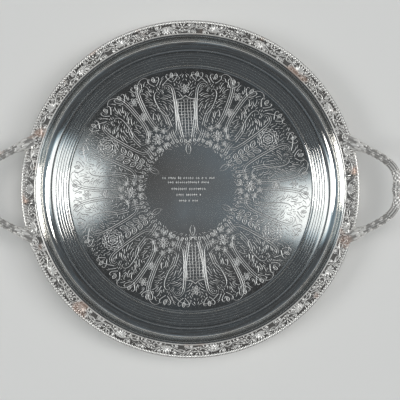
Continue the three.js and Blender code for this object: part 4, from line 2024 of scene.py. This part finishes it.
@dataclass
class Studio:
    """Pale paper floor, a dim room with a long soft light at either side, and the camera above.

    Directions in the room are given by their lean: 0 straight up, 1 level.
    """

    camera_height: float = 0.955
    camera_place: Point = (0.0102, -0.0113)
    view_width: float = 0.4196
    view_plane: float = 0.035
    sensor_mm: float = 36.0
    side_turn: float = math.radians(-5.5)
    side_spread: Point = (0.17, 0.36)
    side_top: Point = (0.092, 0.104)
    side_end: Point = (0.5, 0.8)
    side_rest: float = 0.22
    side_strength: float = 1.4
    nearer_right: float = 0.13
    side_colour: str = "#F6FCFF"
    side_edge_colour: str = "#A9C6D8"
    room: float = 0.045
    ceiling: float = 0.11
    ceiling_lean: Point = (0.03, 0.13)
    horizon: float = 0.17
    horizon_height: float = 0.45
    walls: float = 0.03
    walls_lean: Point = (0.16, 0.5)
    clouds: Point = (0.55, 1.5)
    cloud_colours: tuple[str, str] = ("#D6ECFF", "#F4F6FA")
    fill: float = 1.4
    side_lamp: float = 0.7
    side_lamp_lean: float = math.radians(48.0)
    floor_size: float = 30.0
    sweep: float = 3.0

    def build(self) -> None:
        """Sets up the floor, lights, world and camera."""
        self._floor()
        self._lamps()
        self._world()
        self._camera()
        bpy.context.scene.view_settings.view_transform = "Standard"

    def _floor(self) -> None:
        """Lays the paper floor, swept up a little all round so that it hides the horizon."""
        bm = bmesh.new()
        bmesh.ops.create_grid(bm, x_segments=8, y_segments=8, size=self.floor_size)
        for vert in bm.verts:
            if vert.is_boundary:
                vert.co.z = self.sweep
        mesh = bpy.data.meshes.new("studio_floor")
        bm.to_mesh(mesh)
        bm.free()
        mesh.materials.append(StudioPaper().build())
        floor = bpy.data.objects.new("studio_floor", mesh)
        bpy.context.scene.collection.objects.link(floor)

    def _lamps(self) -> None:
        """Hangs a wide light overhead, which bright metal doesn't mirror, and a soft one at each side."""
        across, turn = self.side_lamp_lean, -self.side_turn
        for name, energy, spread, lamp_turn, mirrored in (
            ("overhead fill", self.fill, 50.0, (0.0, 0.2, 0.6), False),
            ("left soft box", self.side_lamp, 22.0, (0.0, -across, turn), True),
            ("right soft box", self.side_lamp, 22.0, (0.0, across, turn), True),
        ):
            light = bpy.data.lights.new(name, "SUN")
            light.energy = energy
            light.angle = math.radians(spread)
            lamp = bpy.data.objects.new(name, light)
            lamp.rotation_euler = lamp_turn
            lamp.visible_glossy = mirrored
            bpy.context.scene.collection.objects.link(lamp)

    def _world(self) -> None:
        """Paints the room that the silver mirrors."""
        world = bpy.data.worlds.new("studio room")
        bpy.context.scene.world = world
        world.use_nodes = True
        tree = world.node_tree
        tree.nodes.clear()
        seen = add_node(tree, "ShaderNodeTexCoord").outputs["Generated"]
        way = add_node(
            tree, "ShaderNodeVectorRotate", {"rotation_type": "Z_AXIS", "Angle": -self.side_turn},
            {"Vector": seen},
        ).outputs["Vector"]
        axes = add_node(tree, "ShaderNodeSeparateXYZ", None, {"0": way}).outputs
        level = add_node(tree, "ShaderNodeCombineXYZ", None, {"X": axes["X"], "Y": axes["Y"]})
        lean = add_node(tree, "ShaderNodeVectorMath", {"operation": "LENGTH"},
                        {"0": level.outputs["Vector"]}).outputs["Value"]
        light = self._side_lights(tree, axes, lean)
        shade = self._room(tree, seen, axes["Z"], lean)
        blue = self._fade(tree, light, (0.0, 0.6), (0.0, 1.0))
        edge = add_node(tree, "ShaderNodeMix", {"data_type": "RGBA", "7": linear(self.side_edge_colour)},
                        {"0": blue, "6": shade}).outputs[2]
        core = self._fade(tree, light, (0.35, 1.0), (0.0, 1.0))
        colour = add_node(tree, "ShaderNodeMix", {"data_type": "RGBA", "7": linear(self.side_colour)},
                          {"0": core, "6": edge}).outputs[2]
        strength = self._fade(tree, light, (0.35, 1.0), (1.0, self.side_strength))
        back = add_node(tree, "ShaderNodeBackground", None, {"Color": colour, "Strength": strength})
        add_node(tree, "ShaderNodeOutputWorld", None, {"Surface": back.outputs["Background"]})

    def _side_lights(self, tree: bpy.types.NodeTree, axes: bpy.types.bpy_prop_collection,
                     lean: bpy.types.NodeSocket) -> bpy.types.NodeSocket:
        """Shapes the two wedges of light, one at each side of the tray.

        Args:
            tree: The world's nodes.
            axes: The direction's parts.
            lean: Its lean.

        Returns:
            How bright the lights are there, from 0 to 1.
        """
        aside = add_node(tree, "ShaderNodeMath", {"operation": "DIVIDE"}, {"0": axes["Y"], "1": lean})
        off_axis = add_node(tree, "ShaderNodeMath", {"operation": "ABSOLUTE"}, {"0": aside.outputs[0]})
        wedge = self._fade(tree, off_axis.outputs[0], self.side_spread, (1.0, 0.0))
        nearer = add_node(tree, "ShaderNodeMath", {"operation": "MULTIPLY_ADD", "1": self.nearer_right},
                          {"0": axes["X"], "2": lean}).outputs[0]
        top = self._fade(tree, nearer, self.side_top, (0.0, 1.0))
        end = self._fade(tree, lean, self.side_end, (1.0, self.side_rest))
        light = add_node(tree, "ShaderNodeMath", {"operation": "MULTIPLY"}, {"0": wedge, "1": top})
        return add_node(tree, "ShaderNodeMath", {"operation": "MULTIPLY"},
                        {"0": light.outputs[0], "1": end}).outputs[0]

    def _room(self, tree: bpy.types.NodeTree, seen: bpy.types.NodeSocket, height: bpy.types.NodeSocket,
              lean: bpy.types.NodeSocket) -> bpy.types.NodeSocket:
        """Shades the room: lighter overhead and low down, and mottled all over.

        Args:
            tree: The world's nodes.
            seen: The direction.
            height: Its upward part.
            lean: Its lean.

        Returns:
            The room's colour there.
        """
        level = self._fade(tree, lean, self.ceiling_lean, (self.ceiling, 0.0))
        for more in (self._fade(tree, height, (0.0, self.horizon_height), (self.horizon, 0.0)),
                     self._fade(tree, lean, self.walls_lean, (0.0, self.walls))):
            level = add_node(tree, "ShaderNodeMath", {"operation": "ADD"}, {"0": level, "1": more}).outputs[0]
        dim = add_node(tree, "ShaderNodeMath", {"operation": "ADD", "1": self.room}, {"0": level}).outputs[0]
        cloud = add_node(tree, "ShaderNodeTexNoise", {"Scale": 9.0, "Detail": 3.0, "Roughness": 0.6},
                         {"Vector": seen}).outputs["Fac"]
        mottle = self._fade(tree, cloud, (0.3, 0.7), self.clouds)
        dim = add_node(tree, "ShaderNodeMath", {"operation": "MULTIPLY"}, {"0": dim, "1": mottle}).outputs[0]
        cold, warm = (linear(colour) for colour in self.cloud_colours)
        tint = add_node(tree, "ShaderNodeMix", {"data_type": "RGBA", "6": cold, "7": warm},
                        {"0": self._fade(tree, cloud, (0.35, 0.65), (1.0, 0.0))}).outputs[2]
        return add_node(tree, "ShaderNodeVectorMath", {"operation": "SCALE"},
                        {"0": tint, "3": dim}).outputs["Vector"]

    @staticmethod
    def _fade(tree: bpy.types.NodeTree, value: bpy.types.NodeSocket, between: Point,
              change: Point) -> bpy.types.NodeSocket:
        """Fades smoothly from one number to another.

        Args:
            tree: The world's nodes.
            value: The value that it follows.
            between: The values at which the fade starts and ends.
            change: The numbers before and after it.

        Returns:
            The faded number.
        """
        return add_node(
            tree, "ShaderNodeMapRange",
            {"interpolation_type": "SMOOTHSTEP", "From Min": between[0], "From Max": between[1],
             "To Min": change[0], "To Max": change[1]},
            {"Value": value},
        ).outputs["Result"]

    def _camera(self) -> None:
        """Hangs the camera, looking straight down on the face of the tray."""
        data = bpy.data.cameras.new("camera")
        data.sensor_width = self.sensor_mm
        data.lens = data.sensor_width * (self.camera_height - self.view_plane) / self.view_width
        camera = bpy.data.objects.new("camera", data)
        camera.location = (*self.camera_place, self.camera_height)
        bpy.context.scene.collection.objects.link(camera)
        bpy.context.scene.camera = camera


# ---- Assembly -----------------------------------------------------------------------------------


def main() -> None:
    """Builds the salver piece by piece and sets it in the studio."""
    logging.basicConfig(level=logging.INFO, format="%(name)s %(message)s")
    levels = Levels.read()
    log.info("%s", levels)
    tray = TraySheet(levels)
    tray.build()
    RimWire(levels).build()
    ChasedWell(tray).build()
    Border(levels).build()
    Handle(levels).build()
    Feet().build()
    Studio().build()


if __name__ == "__main__":
    main()
